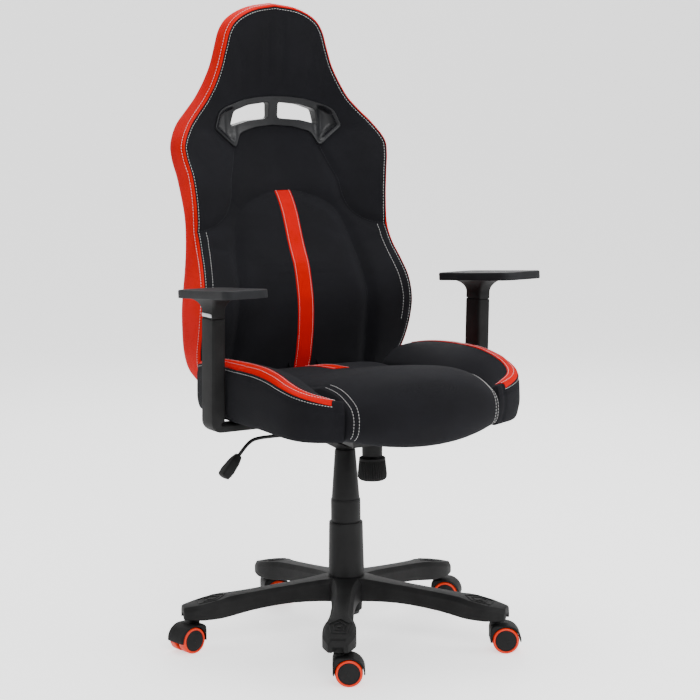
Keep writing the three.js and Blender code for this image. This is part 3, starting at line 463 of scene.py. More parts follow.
def moulding_group():
    """The fine spark-eroded skin of a moulded part."""
    tree, given, result = shader_group("moulding", {"Pit": 0.0009}, ("Height", "Mottle"))
    scale = math_node(tree, "DIVIDE", 1.0, given["Pit"])
    pits = add_node(tree, "ShaderNodeTexNoise", {"Vector": given["Vector"], "Scale": scale, "Detail": 2.0})
    flow = add_node(tree, "ShaderNodeTexNoise", {"Vector": given["Vector"], "Scale": 22.0, "Detail": 3.0})
    tree.links.new(pits.outputs["Fac"], result["Height"])
    tree.links.new(flow.outputs["Fac"], result["Mottle"])
    return tree


def edge_highlight_group():
    """Painted edge highlight: high where the shape is sharply convex, broken up by noise."""
    tree, given, result = shader_group("painted edge highlight", {"Amount": 0.5}, ("Mask",))
    shape = add_node(tree, "ShaderNodeNewGeometry")
    convex = math_node(tree, "SUBTRACT", shape.outputs["Pointiness"], 0.53, clamp=True)
    patches = add_node(tree, "ShaderNodeTexNoise", {"Vector": given["Vector"], "Scale": 60.0, "Detail": 3.0})
    strength = math_node(tree, "MULTIPLY", math_node(tree, "MULTIPLY", convex, 9.0), patches.outputs["Fac"])
    tree.links.new(math_node(tree, "MULTIPLY", strength, given["Amount"], clamp=True), result["Mask"])
    return tree


WEAVE = weave_group()
GRAIN = grain_group()
MOULDING = moulding_group()
EDGE_HIGHLIGHT = edge_highlight_group()


# ---------------------------------------------------------------- materials
def blank_material(name, **sockets):
    """A material with its Principled shader, fixed socket values and Object coordinates."""
    made = bpy.data.materials.new(name)
    made.use_nodes = True
    tree = made.node_tree
    shader = tree.nodes["Principled BSDF"]
    for label, value in sockets.items():
        shader.inputs[label.replace("_", " ")].default_value = value
    where = add_node(tree, "ShaderNodeTexCoord").outputs["Object"]
    return made, tree, shader, where


def placed_group(tree, group, where, **values):
    made = add_node(tree, "ShaderNodeGroup", node_tree=group)
    tree.links.new(where, made.inputs["Vector"])
    for label, value in values.items():
        made.inputs[label.replace("_", " ")].default_value = value
    return made.outputs


def blend_colours(tree, mask, dark, light):
    mix = add_node(tree, "ShaderNodeMix", data_type="RGBA")
    tree.links.new(mask, mix.inputs["Factor"])
    for key, colour in ((6, dark), (7, light)):
        if isinstance(colour, bpy.types.NodeSocket):
            tree.links.new(colour, mix.inputs[key])
        else:
            mix.inputs[key].default_value = (*colour, 1)
    return mix.outputs[2]


def stretched(tree, value, from_low, from_high, to_low, to_high):
    return add_node(
        tree,
        "ShaderNodeMapRange",
        {"Value": value, "From Min": from_low, "From Max": from_high, "To Min": to_low, "To Max": to_high},
    ).outputs[0]


def raise_by(tree, shader, height, depth):
    bump = add_node(tree, "ShaderNodeBump", {"Height": height, "Distance": depth, "Strength": 1.0})
    tree.links.new(bump.outputs["Normal"], shader.inputs["Normal"])


def cloth_material(name, dark, light, thread, depth, sheen):
    made, tree, shader, where = blank_material(
        name, Sheen_Weight=sheen, Sheen_Roughness=0.55, Specular_IOR_Level=0.12
    )
    shader.inputs["Sheen Tint"].default_value = (0.62, 0.64, 0.7, 1)
    weave = placed_group(tree, WEAVE, where, Thread=thread)
    # tone: lighter on the raised threads and darker in the hollows of the weave, which is painted shade, plus a
    # random mottle of the dye
    tone = math_node(
        tree,
        "ADD",
        stretched(tree, weave["Height"], -0.6, 1, 0, 0.7),
        stretched(tree, weave["Mottle"], 0.3, 0.7, -0.2, 0.3),
        clamp=True,
    )
    tree.links.new(blend_colours(tree, tone, dark, light), shader.inputs["Base Color"])
    tree.links.new(stretched(tree, weave["Mottle"], 0.3, 0.7, 0.86, 0.98), shader.inputs["Roughness"])
    raise_by(tree, shader, weave["Height"], depth)
    return made


def leather_material(name, dark, light, cell, depth):
    made, tree, shader, where = blank_material(name, Specular_IOR_Level=0.03)
    grain = placed_group(tree, GRAIN, where, Cell=cell)
    mottle = add_node(tree, "ShaderNodeTexNoise", {"Vector": where, "Scale": 9.0, "Detail": 4.0})
    base = blend_colours(tree, stretched(tree, mottle.outputs["Fac"], 0.35, 0.65, 0, 1), dark, light)
    # deep is a painted shade: the creases between the pebbles are darkened in colour
    deep = tuple(0.55 * c for c in dark)
    tree.links.new(blend_colours(tree, grain["Crease"], base, deep), shader.inputs["Base Color"])
    tree.links.new(stretched(tree, grain["Crease"], 0, 0.4, 0.42, 0.62), shader.inputs["Roughness"])
    raise_by(tree, shader, grain["Height"], depth)
    return made


def moulded_material(name, dark, light, rough, pit, depth, edge_highlight, **sockets):
    made, tree, shader, where = blank_material(name, **sockets)
    skin = placed_group(tree, MOULDING, where, Pit=pit)
    # edge masks a painted highlight: sharply convex edges, broken up by noise, take the paler colour pale
    edge = placed_group(tree, EDGE_HIGHLIGHT, where, Amount=edge_highlight)
    base = blend_colours(tree, stretched(tree, skin["Mottle"], 0.35, 0.65, 0, 1), dark, light)
    pale = tuple(min(1, 2.2 * c + 0.02) for c in light)
    tree.links.new(blend_colours(tree, edge["Mask"], base, pale), shader.inputs["Base Color"])
    tree.links.new(
        stretched(tree, skin["Height"], 0.3, 0.7, rough - 0.06, rough + 0.06), shader.inputs["Roughness"]
    )
    raise_by(tree, shader, skin["Height"], depth)
    return made


def metal_material(name, dark, light, rough):
    made, tree, shader, where = blank_material(name, Metallic=1.0)
    lines = add_node(
        tree,
        "ShaderNodeTexNoise",
        {
            "Vector": add_node(
                tree, "ShaderNodeMapping", {"Vector": where, "Scale": (600, 600, 40)}
            ).outputs[0]
        },
    )
    lines.inputs["Scale"].default_value = 1.0
    tree.links.new(blend_colours(tree, lines.outputs["Fac"], dark, light), shader.inputs["Base Color"])
    tree.links.new(
        stretched(tree, lines.outputs["Fac"], 0.3, 0.7, rough - 0.06, rough + 0.08),
        shader.inputs["Roughness"]
    )
    raise_by(tree, shader, lines.outputs["Fac"], 0.00003)
    return made


BLACK_CLOTH = cloth_material(
    "black_cloth", (0.0036, 0.0036, 0.0046), (0.0105, 0.0105, 0.0130), 0.0013, 0.00016, 0.03
)
LINING = cloth_material("black_lining", (0.010, 0.010, 0.011), (0.030, 0.030, 0.032), 0.0026, 0.00025, 0.05)
RED_LEATHER = leather_material("red_leather", (0.50, 0.0, 0.0), (0.62, 0.0006, 0.0004), 0.0015, 0.00009)
WHITE_THREAD = cloth_material("pale_thread", (0.42, 0.42, 0.42), (0.72, 0.72, 0.71), 0.0008, 0.00008, 0.1)
BLACK_THREAD = cloth_material(
    "dark_thread", (0.012, 0.012, 0.014), (0.030, 0.030, 0.034), 0.0008, 0.00008, 0.1
)
# The seventh value of each moulded material sets the strength of its painted edge highlight.
NYLON = moulded_material(
    "glass_filled_nylon", (0.0055, 0.0055, 0.0057), (0.0105, 0.0105, 0.0107), 0.62, 0.0011, 0.00016, 0.4,
    Specular_IOR_Level=0.2
)
SOFT_PLASTIC = moulded_material(
    "soft_plastic", (0.006, 0.006, 0.0063), (0.010, 0.010, 0.0103), 0.5, 0.0006, 0.00006, 0.3,
    Specular_IOR_Level=0.2
)
PAD_RUBBER = moulded_material(
    "pad_polyurethane", (0.010, 0.0105, 0.012), (0.015, 0.0155, 0.0175), 0.62, 0.0008, 0.00008, 0.2,
    Specular_IOR_Level=0.2
)
GLOSS_PLASTIC = moulded_material(
    "gloss_plastic", (0.006, 0.0064, 0.0074), (0.009, 0.0095, 0.0115), 0.40, 0.0030, 0.00002, 0.3,
    Specular_IOR_Level=0.35
)
TYRE = moulded_material(
    "orange_tyre", (0.72, 0.022, 0.0), (0.84, 0.032, 0.0), 0.35, 0.0012, 0.00004, 0.1, Specular_IOR_Level=0.3
)
WHEEL_PLASTIC = moulded_material(
    "wheel_plastic", (0.007, 0.007, 0.0073), (0.011, 0.011, 0.0113), 0.55, 0.0008, 0.00008, 0.3,
    Specular_IOR_Level=0.2
)
BLACK_STEEL = moulded_material(
    "coated_steel", (0.005, 0.005, 0.0053), (0.009, 0.009, 0.0093), 0.45, 0.0012, 0.00008, 0.6,
    Specular_IOR_Level=0.3
)
BRIGHT_STEEL = metal_material("bright_steel", (0.58, 0.59, 0.61), (0.72, 0.73, 0.75), 0.26)
SPRING_STEEL = metal_material("spring_steel", (0.16, 0.17, 0.18), (0.27, 0.28, 0.29), 0.38)


# ---------------------------------------------------------------- geometry node trees
def geometry_tree(name, inputs):
    """A tree whose named inputs are (label, socket type, value), with its input and output nodes."""
    tree = bpy.data.node_groups.new(name, "GeometryNodeTree")
    tree.interface.new_socket(name="Geometry", in_out="INPUT", socket_type="NodeSocketGeometry")
    for label, kind, value in inputs:
        made = tree.interface.new_socket(name=label, in_out="INPUT", socket_type=kind)
        if value is not None:
            made.default_value = value
    tree.interface.new_socket(name="Geometry", in_out="OUTPUT", socket_type="NodeSocketGeometry")
    return tree, tree.nodes.new("NodeGroupInput").outputs, tree.nodes.new("NodeGroupOutput").inputs


def finish_tree(tree, instances, material, result, smooth=True):
    real = add_node(tree, "GeometryNodeRealizeInstances", {0: instances}).outputs[0]
    shaded = add_node(
        tree, "GeometryNodeSetShadeSmooth", {"Geometry": real, "Shade Smooth": smooth}
    ).outputs[0]
    done = add_node(tree, "GeometryNodeSetMaterial", {"Geometry": shaded, "Material": material}).outputs[0]
    tree.links.new(done, result["Geometry"])
    return tree


def stitch_tree():
    """Stitches laid end to end along lines, each a slim pointed oval."""
    tree, given, result = geometry_tree(
        "stitches",
        (
            ("Pitch", "NodeSocketFloat", 0.006),
            ("Length", "NodeSocketFloat", 0.0045),
            ("Thread radius", "NodeSocketFloat", 0.0005),
            ("Material", "NodeSocketMaterial", None),
        ),
    )
    line = add_node(tree, "GeometryNodeMeshToCurve", {"Mesh": given["Geometry"]}).outputs[0]
    places = add_node(
        tree, "GeometryNodeCurveToPoints", {"Curve": line, "Length": given["Pitch"]}, mode="LENGTH"
    )
    oval = add_node(tree, "GeometryNodeMeshUVSphere", {"Segments": 6, "Rings": 5, "Radius": 1.0})
    size = add_node(
        tree,
        "ShaderNodeCombineXYZ",
        {
            0: given["Thread radius"],
            1: given["Thread radius"],
            2: math_node(tree, "MULTIPLY", given["Length"], 0.5)
        },
    )
    one = add_node(tree, "GeometryNodeTransform", {"Geometry": oval.outputs[0], "Scale": size.outputs[0]})
    laid = add_node(
        tree,
        "GeometryNodeInstanceOnPoints",
        {
            "Points": places.outputs["Points"], "Instance": one.outputs[0],
            "Rotation": places.outputs["Rotation"]
        },
    )
    return finish_tree(tree, laid.outputs[0], given["Material"], result)


def screw_tree():
    """Socket-head screws standing on points, each turned to face along the point's normal."""
    tree, given, result = geometry_tree(
        "socket screws",
        (
            ("Head radius", "NodeSocketFloat", 0.005),
            ("Head height", "NodeSocketFloat", 0.003),
            ("Material", "NodeSocketMaterial", None),
        ),
    )
    top = math_node(tree, "MULTIPLY", given["Head radius"], 0.86)
    head = add_node(
        tree,
        "GeometryNodeMeshCone",
        {
            "Vertices": 24, "Radius Top": top, "Radius Bottom": given["Head radius"],
            "Depth": given["Head height"]
        },
    )
    socket = add_node(
        tree,
        "GeometryNodeMeshCylinder",
        {
            "Vertices": 6,
            "Radius": math_node(tree, "MULTIPLY", given["Head radius"], 0.5),
            "Depth": math_node(tree, "MULTIPLY", given["Head height"], 1.2),
        },
    )
    lift = add_node(tree, "ShaderNodeCombineXYZ", {2: math_node(tree, "MULTIPLY", given["Head height"], 0.9)})
    raised = add_node(
        tree, "GeometryNodeTransform", {"Geometry": socket.outputs[0], "Translation": lift.outputs[0]}
    )
    drilled = add_node(
        tree, "GeometryNodeMeshBoolean", {"Mesh 1": head.outputs[0], "Mesh 2": raised.outputs[0]}
    )
    facing = add_node(tree, "GeometryNodeInputNamedAttribute", {"Name": "facing"}, data_type="FLOAT_VECTOR")
    turn = add_node(tree, "FunctionNodeAlignRotationToVector", {"Vector": facing.outputs[0]}, axis="Z")
    stood = add_node(
        tree,
        "GeometryNodeInstanceOnPoints",
        {"Points": given["Geometry"], "Instance": drilled.outputs[0], "Rotation": turn.outputs[0]},
    )
    return finish_tree(tree, stood.outputs[0], given["Material"], result, smooth=False)


STITCHES = stitch_tree()
SCREWS = screw_tree()


def grown_by(tree, obj, name, **values):
    """Runs a geometry tree on an object and keeps the result as a plain mesh."""
    modifier = obj.modifiers.new("made", "NODES")
    modifier.node_group = tree
    sockets = {s.name: s.identifier for s in tree.interface.items_tree if s.in_out == "INPUT"}
    for label, value in values.items():
        modifier[sockets[label.replace("_", " ")]] = value
    return settled(obj, name)


def stitch_lines(name, lines, thread, pitch=0.0058, length=0.0044, radius=0.00052):
    """Rows of stitches along lines of points."""
    points, edges = [], []
    for line in lines:
        start = len(points)
        points += (np.asarray(line) + [AXIS_X, 0, 0]).tolist()
        edges += [(start + i, start + i + 1) for i in range(len(line) - 1)]
    mesh = bpy.data.meshes.new(name + "_line")
    mesh.from_pydata(points, edges, [])
    obj = link(bpy.data.objects.new(name + "_line", mesh))
    return grown_by(
        STITCHES, obj, name, Pitch=pitch, Length=length, Thread_radius=radius, Material=thread
    )


def screws(name, places, facings, finish, radius=0.005, height=0.003):
    mesh = bpy.data.meshes.new(name + "_points")
    mesh.from_pydata((np.asarray(places, float) + [AXIS_X, 0, 0]).tolist(), [], [])
    facing = mesh.attributes.new("facing", "FLOAT_VECTOR", "POINT")
    facing.data.foreach_set("vector", np.asarray(facings, np.float32).ravel())
    obj = link(bpy.data.objects.new(name + "_points", mesh))
    return grown_by(SCREWS, obj, name, Head_radius=radius, Head_height=height, Material=finish)


# ---------------------------------------------------------------- padding by cloth simulation
CLOTH_PRESSURE = 4.0
CLOTH_FRAMES = 20


def stuffing(shell, voxel, cap, held):
    """Blows a closed shell up as cloth and returns a function that gives any point the cloth's movement.

    held(points) is True where the cloth is sewn down."""
    obj = piece("stuffing", shell, BLACK_CLOTH, 180)
    remesh = obj.modifiers.new("voxels", "REMESH")
    remesh.mode = "VOXEL"
    remesh.voxel_size = voxel
    settled(obj)
    count = len(obj.data.vertices)
    rest = np.zeros(count * 3, np.float32)
    obj.data.vertices.foreach_get("co", rest)
    rest = rest.reshape(-1, 3).astype(float)
    sewn = obj.vertex_groups.new(name="sewn")
    sewn.add(np.flatnonzero(held(rest - [AXIS_X, 0, 0])).tolist(), 1.0, "REPLACE")
    cloth = obj.modifiers.new("cloth", "CLOTH")
    settings = cloth.settings
    settings.quality = 5
    settings.mass = 0.3
    settings.use_pressure = True
    settings.uniform_pressure_force = CLOTH_PRESSURE
    settings.vertex_group_mass = "sewn"
    settings.tension_stiffness = settings.compression_stiffness = 12
    settings.bending_stiffness = 1.5
    settings.effector_weights.gravity = 0
    cloth.collision_settings.use_collision = False
    cloth.point_cache.frame_start, cloth.point_cache.frame_end = 1, CLOTH_FRAMES
    scene = bpy.context.scene
    for number in range(1, CLOTH_FRAMES + 1):
        scene.frame_set(number)
    graph = bpy.context.evaluated_depsgraph_get()
    swollen = np.zeros(count * 3, np.float32)
    obj.evaluated_get(graph).data.vertices.foreach_get("co", swollen)
    move = swollen.reshape(-1, 3) - rest
    size = np.linalg.norm(move, axis=1, keepdims=True)
    move *= np.minimum(1, cap / np.maximum(size, 1e-9))
    tree = kdtree.KDTree(count)
    for i, place in enumerate(rest):
        tree.insert(place, i)
    tree.balance()
    bpy.data.objects.remove(obj)
    scene.frame_set(1)

    def carried(points):
        made = np.zeros_like(points)
        for i, point in enumerate(points + [AXIS_X, 0, 0]):
            found = tree.find_n(point, 6)
            weights = np.array([1 / (f[2] ** 2 + 1e-6) for f in found])
            made[i] = weights @ move[[f[1] for f in found]] / weights.sum()
        return made

    return carried


# ---------------------------------------------------------------- back
BACK_FOOT = low("back_cushion")[2]

# The sewn edge between the black front and the red side, from the foot up:
# (half width, y, height above the foot) in millimetres.
FRONT_EDGE = (
    (205, 178, 9),
    (219, 168, 30),
    (228, 154, 60),
    (232, 136, 105),
    (232, 127, 148),
    (227, 132, 190),
    (220, 152, 226),
    (214, 174, 257),
    (211, 190, 292),
    (211, 194, 345),
    (216, 199, 400),
    (223, 208, 436),
    (223, 215, 460),
    (202, 233, 496),
    (182, 243, 518),
    (158, 250, 545),
    (139, 252, 575),
    (123, 256, 610),
    (111, 257, 650),
    (103, 257, 677),
    (92, 257, 695),
    (74, 257, 709),
    (45, 258, 721),
    (0, 263, 728),
)
# Along the middle line: (height above the foot, y of the front), then of the rear at its edge and its middle.
FRONT_MIDDLE = (
    (0, 174), (22, 172), (74, 163), (133, 150), (160, 149), (199, 161), (258, 192), (317, 217), (368, 240),
    (416, 262), (461, 279), (490, 284), (523, 282), (560, 276), (612, 270), (671, 266), (707, 264),
    (729, 263),
)  # fmt: skip
REAR_EDGE = (
    (0, 212), (22, 222), (74, 224), (133, 223), (199, 225), (258, 236), (317, 243), (368, 258), (416, 270),
    (461, 278), (490, 294), (523, 302), (560, 306), (612, 304), (671, 304), (707, 302), (729, 297),
)  # fmt: skip
REAR_MIDDLE = (
    (0, 224), (22, 232), (74, 238), (133, 242), (199, 248), (258, 256), (317, 264), (368, 276), (416, 290),
    (461, 303), (490, 315), (523, 324), (560, 327), (612, 327), (671, 324), (707, 316), (729, 299),
)  # fmt: skip
# The red side from the front seam to the rear one: (share of the depth, millimetres out from the edge).
SIDE_PROFILE = ((0, 0), (0.05, 2.4), (0.3, 5.6), (0.6, 7.6), (0.8, 8.2), (0.92, 6.4), (0.98, 2.6), (1, 0))
# Sewn lines of the front, half of each, in millimetres from the middle and above the foot.
ARCH_SEAM = (
    (0, 366), (33, 363), (60, 355), (87, 343), (106, 328), (121, 297), (130, 259), (136, 220), (140, 185),
    (144, 140), (146, 100), (148, 60), (150, 5),
)  # fmt: skip
SHOULDER_SEAM = (
    (94, 448), (104, 418), (116, 387), (121, 357), (130, 334), (145, 316), (165, 304), (188, 297), (214, 294)
)
LINK_SEAM = ((123, 351), (114, 341), (104, 331))
STRIPE_HALF = 17.5 * MM
STRIPE_TOP = 365 * MM
FRONT_STITCH_IN = 4 * MM
SIDE_STITCH_OUT = 9 * MM
WING_STITCH_IN = 19 * MM

front_middle = height_curve(FRONT_MIDDLE)
rear_edge = height_curve(REAR_EDGE)
rear_middle = height_curve(REAR_MIDDLE)
EDGE_LINE = rounded(np.array(FRONT_EDGE) * MM)


def flat_line(points):
    return rounded(np.array(points, float) * MM, steps=6)


ARCH = flat_line(ARCH_SEAM)
SHOULDER = flat_line(SHOULDER_SEAM)
LINK = flat_line(LINK_SEAM)


def vent_half():
    """Half of the vent's rim in (x, height above the foot), from its top round to its bottom."""
    foot = low("vent_front_bezel")[2] - BACK_FOOT
    rise = high("vent_front_bezel")[2] - BACK_FOOT
    wide = high("vent_front_bezel")[0]
    return np.array(
        [
            (0, rise),
            (0.25 * wide, rise - 1.5 * MM),
            (0.5 * wide, rise - 6.5 * MM),
            (0.82 * wide, rise - 21 * MM),
            (0.92 * wide, rise - 31 * MM),
            (wide, rise - 60 * MM),
            (0.98 * wide, rise - 64 * MM),
            (0.70 * wide, foot + 1 * MM),
            (0.655 * wide, foot),
            (0.56 * wide, foot + 26 * MM),
            (0.3 * wide, foot + 37 * MM),
            (0, foot + 41 * MM),
        ]
    )


def both_halves(half):
    return np.vstack([half, (half * [-1, 1])[-2:0:-1]])


def half_width(height):
    """Half width of the black front at a height above the foot."""
    return np.interp(height, EDGE_LINE[:, 2], EDGE_LINE[:, 0])


def front_y(x, height, sewn=True):
    """How far back the front of the back cushion lies at (x, height above the foot)."""
    x = np.abs(np.asarray(x, float))
    height = np.asarray(height, float)
    wide = np.maximum(half_width(height), 1e-4)
    share = np.clip(x / wide, 0, 1)
    edge = np.interp(height, EDGE_LINE[:, 2], EDGE_LINE[:, 1])
    power = 3.0 - 1.4 * soft_step(0.30, 0.38, height) + 0.7 * soft_step(0.50, 0.58, height)
    y = front_middle(height) + (edge - front_middle(height)) * share**power
    if not sewn:
        return y
    rim = (1 - share) * wide
    arch = distance_to(ARCH, x, height)
    shoulder = distance_to(SHOULDER, x, height)
    linked = distance_to(LINK, x, height)
    deep = 10 - 6 * soft_step(0.17, 0.30, height)
    y = y + MM * (deep * hollow(arch, 0.014) + 1.8 * hollow(arch, 0.0022))
    y = y + MM * (
        3.0 * hollow(shoulder, 0.010) + 1.6 * hollow(shoulder, 0.0022) + 1.3 * hollow(linked, 0.002)
    )
    return y + MM * (2.2 * hollow(rim, 0.005) + 1.2 * hollow(rim - FRONT_STITCH_IN, 0.0016))


def outline_normals(line):
    """Outward normals of a line of (x, z) points that runs up the right-hand side."""
    along = np.gradient(line, axis=0)
    along /= np.maximum(np.linalg.norm(along, axis=1, keepdims=True), 1e-9)
    return np.column_stack([along[:, 1], -along[:, 0]])


ROWS = 300
EDGE = evenly(EDGE_LINE, ROWS)
EDGE[-1, 0] = 0
NORMALS = outline_normals(EDGE[:, [0, 2]])
NORMALS[-1] = (0, 1)


def side_point(row, share, extra=0.0):
    """A point on the red side at a share of its depth, on the sitter's left."""
    x, y, height = EDGE[row]
    out = np.interp(share, SIDE[:, 0], SIDE[:, 1]) + extra
    back = rear_edge(height)
    return (
        x + NORMALS[row, 0] * out,
        y + (back - y) * share,
        BACK_FOOT + height + NORMALS[row, 1] * out,
    )


SIDE = rounded(np.array(SIDE_PROFILE) * [1, MM])
FRONT_COLUMNS = 132
SIDE_COLUMNS = 18
REAR_COLUMNS = 46


def back_rings(sewn):
    """Rings round the back from its foot to its top: front, left side, rear, right side."""
    shares = np.linspace(-1, 1, FRONT_COLUMNS + 1)
    shares = shares * (1.22 - 0.22 * shares**2)
    rears = np.linspace(1, -1, REAR_COLUMNS + 1)
    sides = np.linspace(0, 1, SIDE_COLUMNS + 1)[1:-1]
    rings = []
    for row in range(ROWS):
        x, _, height = EDGE[row]
        z = BACK_FOOT + height
        across = shares * x
        front = np.column_stack([across, front_y(across, height, sewn), np.full(len(across), z)])
        left = np.array([side_point(row, s, -1.2 * MM * sewn * hollow(s - 0.035, 0.02)) for s in sides])
        width = np.abs(rears)
        depth = rear_middle(height) + (rear_edge(height) - rear_middle(height)) * rears**2
        seam = (
            2.0 * MM * hollow((1 - width) * x, 0.004) + 1.6 * MM * hollow(np.abs(rears * x) - 0.085, 0.0025)
        )
        rear = np.column_stack([rears * x, depth - seam * sewn, np.full(len(rears), z)])
        rings.append(np.vstack([front, left, rear, (left * [-1, 1, 1])[::-1]]))
    return rings


def back_shell(sewn):
    rings = back_rings(sewn)
    under = []
    for shrink, drop in ((0.3, 8.8), (0.7, 8.2), (0.88, 6.6), (0.95, 4.6), (0.985, 2.0)):
        centre = rings[0].mean(0)
        ring = centre + (rings[0] - centre) * [shrink, shrink, 0]
        under.append(ring - [0, 0, drop * MM])
    return loft(under + rings), len(under)


def in_vent(x, height, margin):
    """True for points inside the vent's opening, kept clear of its rim by the margin."""
    from_rim = distance_to(VENT_LOOP, x, height)
    inside = np.zeros(len(x), bool)
    for (ax, az), (bx, bz) in zip(VENT_LOOP[:-1], VENT_LOOP[1:]):
        crosses = (az > height) != (bz > height)
        run = (bx - ax) * (height - az) / np.where(bz == az, 1e-12, bz - az) + ax
        inside ^= crosses & (x < run)
    return inside & (from_rim > margin)


VENT_RIM = both_halves(vent_half())
VENT_LOOP = np.vstack([VENT_RIM, VENT_RIM[:1]])


def make_back():
    plain, _ = back_shell(sewn=False)

    def held(p):
        height = p[:, 2] - BACK_FOOT
        x = np.abs(p[:, 0])
        seams = np.minimum(distance_to(ARCH, x, height), distance_to(SHOULDER, x, height))
        rim = np.abs(distance_to(EDGE[:, [0, 2]], x, height))
        behind = p[:, 1] > rear_edge(height) - 0.02
        vent = distance_to(VENT_LOOP, x, height) < 0.012
        return behind | (seams < 0.006) | (rim < 0.008) | vent | in_vent(x, height, 0.0) | (height < 0.02)

    carried = stuffing(plain, 0.008, 0.006, held)
    (points, faces), under = back_shell(sewn=True)
    points = points + carried(points)
    count = FRONT_COLUMNS + REAR_COLUMNS + 2 * SIDE_COLUMNS
    x, height = points[:, 0], points[:, 2] - BACK_FOOT
    opening = in_vent(x, height, 0.006)
    kept, red = [], []
    for i, face in enumerate(faces):
        if all(opening[v] for v in face):
            continue
        row, column = divmod(i, count)
        sides = FRONT_COLUMNS <= column < FRONT_COLUMNS + SIDE_COLUMNS or column >= count - SIDE_COLUMNS
        kept.append(face)
        red.append(sides and row >= under and len(face) == 4)
    obj = piece("back_cover", (points, kept), BLACK_CLOTH, 180, RED_LEATHER, red)
    wear(obj, "seat", "black_fabric", "back_cushion")
    return carried


def front_line(pairs, carried, proud=0.6 * MM):
    """A line on the front of the back from (x, height above the foot) pairs, standing a little proud."""
    pairs = np.asarray(pairs, float)
    y = front_y(pairs[:, 0], pairs[:, 1])
    points = np.column_stack([pairs[:, 0], y, BACK_FOOT + pairs[:, 1]])
    return points + carried(points) - [0, proud, 0]


def side_line(out, carried, proud=0.7 * MM):
    """A line along the red side, a distance out from the front seam, over the top and down the other side."""
    depth = np.maximum(rear_edge(EDGE[:, 2]) - EDGE[:, 1], 0.02)
    half = np.array([side_point(row, out / depth[row], proud) for row in range(3, ROWS)])
    line = np.vstack([half, (half * [-1, 1, 1])[-2::-1]])
    return line + carried(line)


def inset_edge(by, start=0):
    """The front seam moved inwards, as (x, height above the foot) pairs."""
    line = (EDGE[:, [0, 2]] - NORMALS * by)[start:]
    return line[line[:, 0] > 0]


def make_back_trim(carried):
    rim = inset_edge(FRONT_STITCH_IN, 8)
    whole = np.vstack([rim, (rim * [-1, 1])[::-1]])
    lines = [front_line(evenly(whole, 900), carried, 0.2 * MM), side_line(SIDE_STITCH_OUT, carried)]
    wing = inset_edge(WING_STITCH_IN)
    wing = wing[(wing[:, 1] > 0.105) & (wing[:, 1] < 0.292)]
    for sign, _ in SIDES:
        lines.append(front_line(evenly(wing, 120) * [sign, 1], carried, 0.4 * MM))
    pale = stitch_lines("back_stitching", lines, WHITE_THREAD)
    wear(pale, "seat", "thread")
    dark = [front_line(evenly(SHOULDER, 90) * [sign, 1] + [3.2 * MM * sign, 0], carried) for sign, _ in SIDES]
    dark += [front_line(evenly(both_halves(ARCH)[len(ARCH) - 1 :] * [-1, 1], 260), carried)]
    wear(stitch_lines("back_dark_stitching", dark, BLACK_THREAD, radius=0.0004), "seat", "thread")
    rear = []
    for sign, _ in SIDES:
        heights = np.linspace(0.03, 0.44, 240)
        x = np.full(len(heights), 0.085 + 3.4 * MM)
        share = x / half_width(heights)
        y = rear_middle(heights) + (rear_edge(heights) - rear_middle(heights)) * share**2 + 0.3 * MM
        line = np.column_stack([sign * x, y, BACK_FOOT + heights])
        rear.append(line + carried(line))
    wear(stitch_lines("back_rear_stitching", rear, BLACK_THREAD, radius=0.0004), "seat", "thread")


def ribbon(name, centre, across, normals, half, finish, thick=1.1 * MM):
    """A sewn-on strip along a line, its long edges turned down into the cover."""
    profile = (
        (-1, -0.9), (-1, 0.35), (-0.93, 0.9), (-0.6, 1.0), (0, 1.05), (0.6, 1.0), (0.93, 0.9), (1, 0.35),
        (1, -0.9)
    )
    rings = [
        [c + a * (s * h) + n * (lift * thick) for s, lift in profile]
        for c, a, n, h in zip(centre, across, normals, np.broadcast_to(half, len(centre)))
    ]
    return piece(name, loft(rings), finish, 50)


def make_back_stripe(carried):
    heights = np.linspace(12 * MM, STRIPE_TOP, 130)
    centre = front_line(np.column_stack([0 * heights, heights]), carried, 0)
    along = np.gradient(centre, axis=0)
    along /= np.linalg.norm(along, axis=1, keepdims=True)
    across = np.tile([1.0, 0, 0], (len(centre), 1))
    normals = np.cross(across, along)
    normals *= -np.sign(normals[:, 1:2])
    strip = ribbon("back_stripe", centre, across, normals, STRIPE_HALF, RED_LEATHER)
    wear(strip, "seat", "red_leather")
    lines = [centre + normals * 1.3 * MM + [s * (STRIPE_HALF - 3 * MM), 0, 0] for s in (-1, 1)]
    wear(
        stitch_lines("back_stripe_stitching", lines, WHITE_THREAD, 0.0052, 0.0038, 0.00045), "seat", "thread"
    )


# ---------------------------------------------------------------- vent
def window_outline(sign):
    wide = high("vent_front_bezel")[0]
    foot = low("vent_front_bezel")[2] - BACK_FOOT + 41 * MM
    inner, outer = 10 * MM, 0.69 * wide
    corners = np.array(
        [
            (inner, foot + 13.5 * MM),
            (inner + 12 * MM, foot + 12 * MM),
            (outer * 0.6, foot + 9 * MM),
            (outer + 1 * MM, foot - 1.5 * MM),
            (outer - 1.5 * MM, foot + 12 * MM),
            (outer - 6 * MM, foot + 29 * MM),
            (outer * 0.6, foot + 40 * MM),
            (inner + 4 * MM, foot + 45 * MM),
            (inner, foot + 43 * MM),
        ]
    )
    return corners * [sign, 1]


def rear_opening():
    """The rear bezel's one wide opening, which the front bezel's two windows look into."""
    foot, rise = low("vent_rear_bezel")[2] - BACK_FOOT, high("vent_rear_bezel")[2] - BACK_FOOT
    wide = high("vent_rear_bezel")[0]
    half = [
        (0, rise - 7 * MM),
        (0.5 * wide, rise - 13 * MM),
        (0.78 * wide, rise - 26 * MM),
        (0.90 * wide, rise - 42 * MM)
    ]
    half += [(0.91 * wide, rise - 56 * MM), (0.74 * wide, foot + 22 * MM), (0.62 * wide, foot + 30 * MM)]
    half += [(0.3 * wide, foot + 45 * MM), (0, foot + 49 * MM)]
    return both_halves(np.array(half))


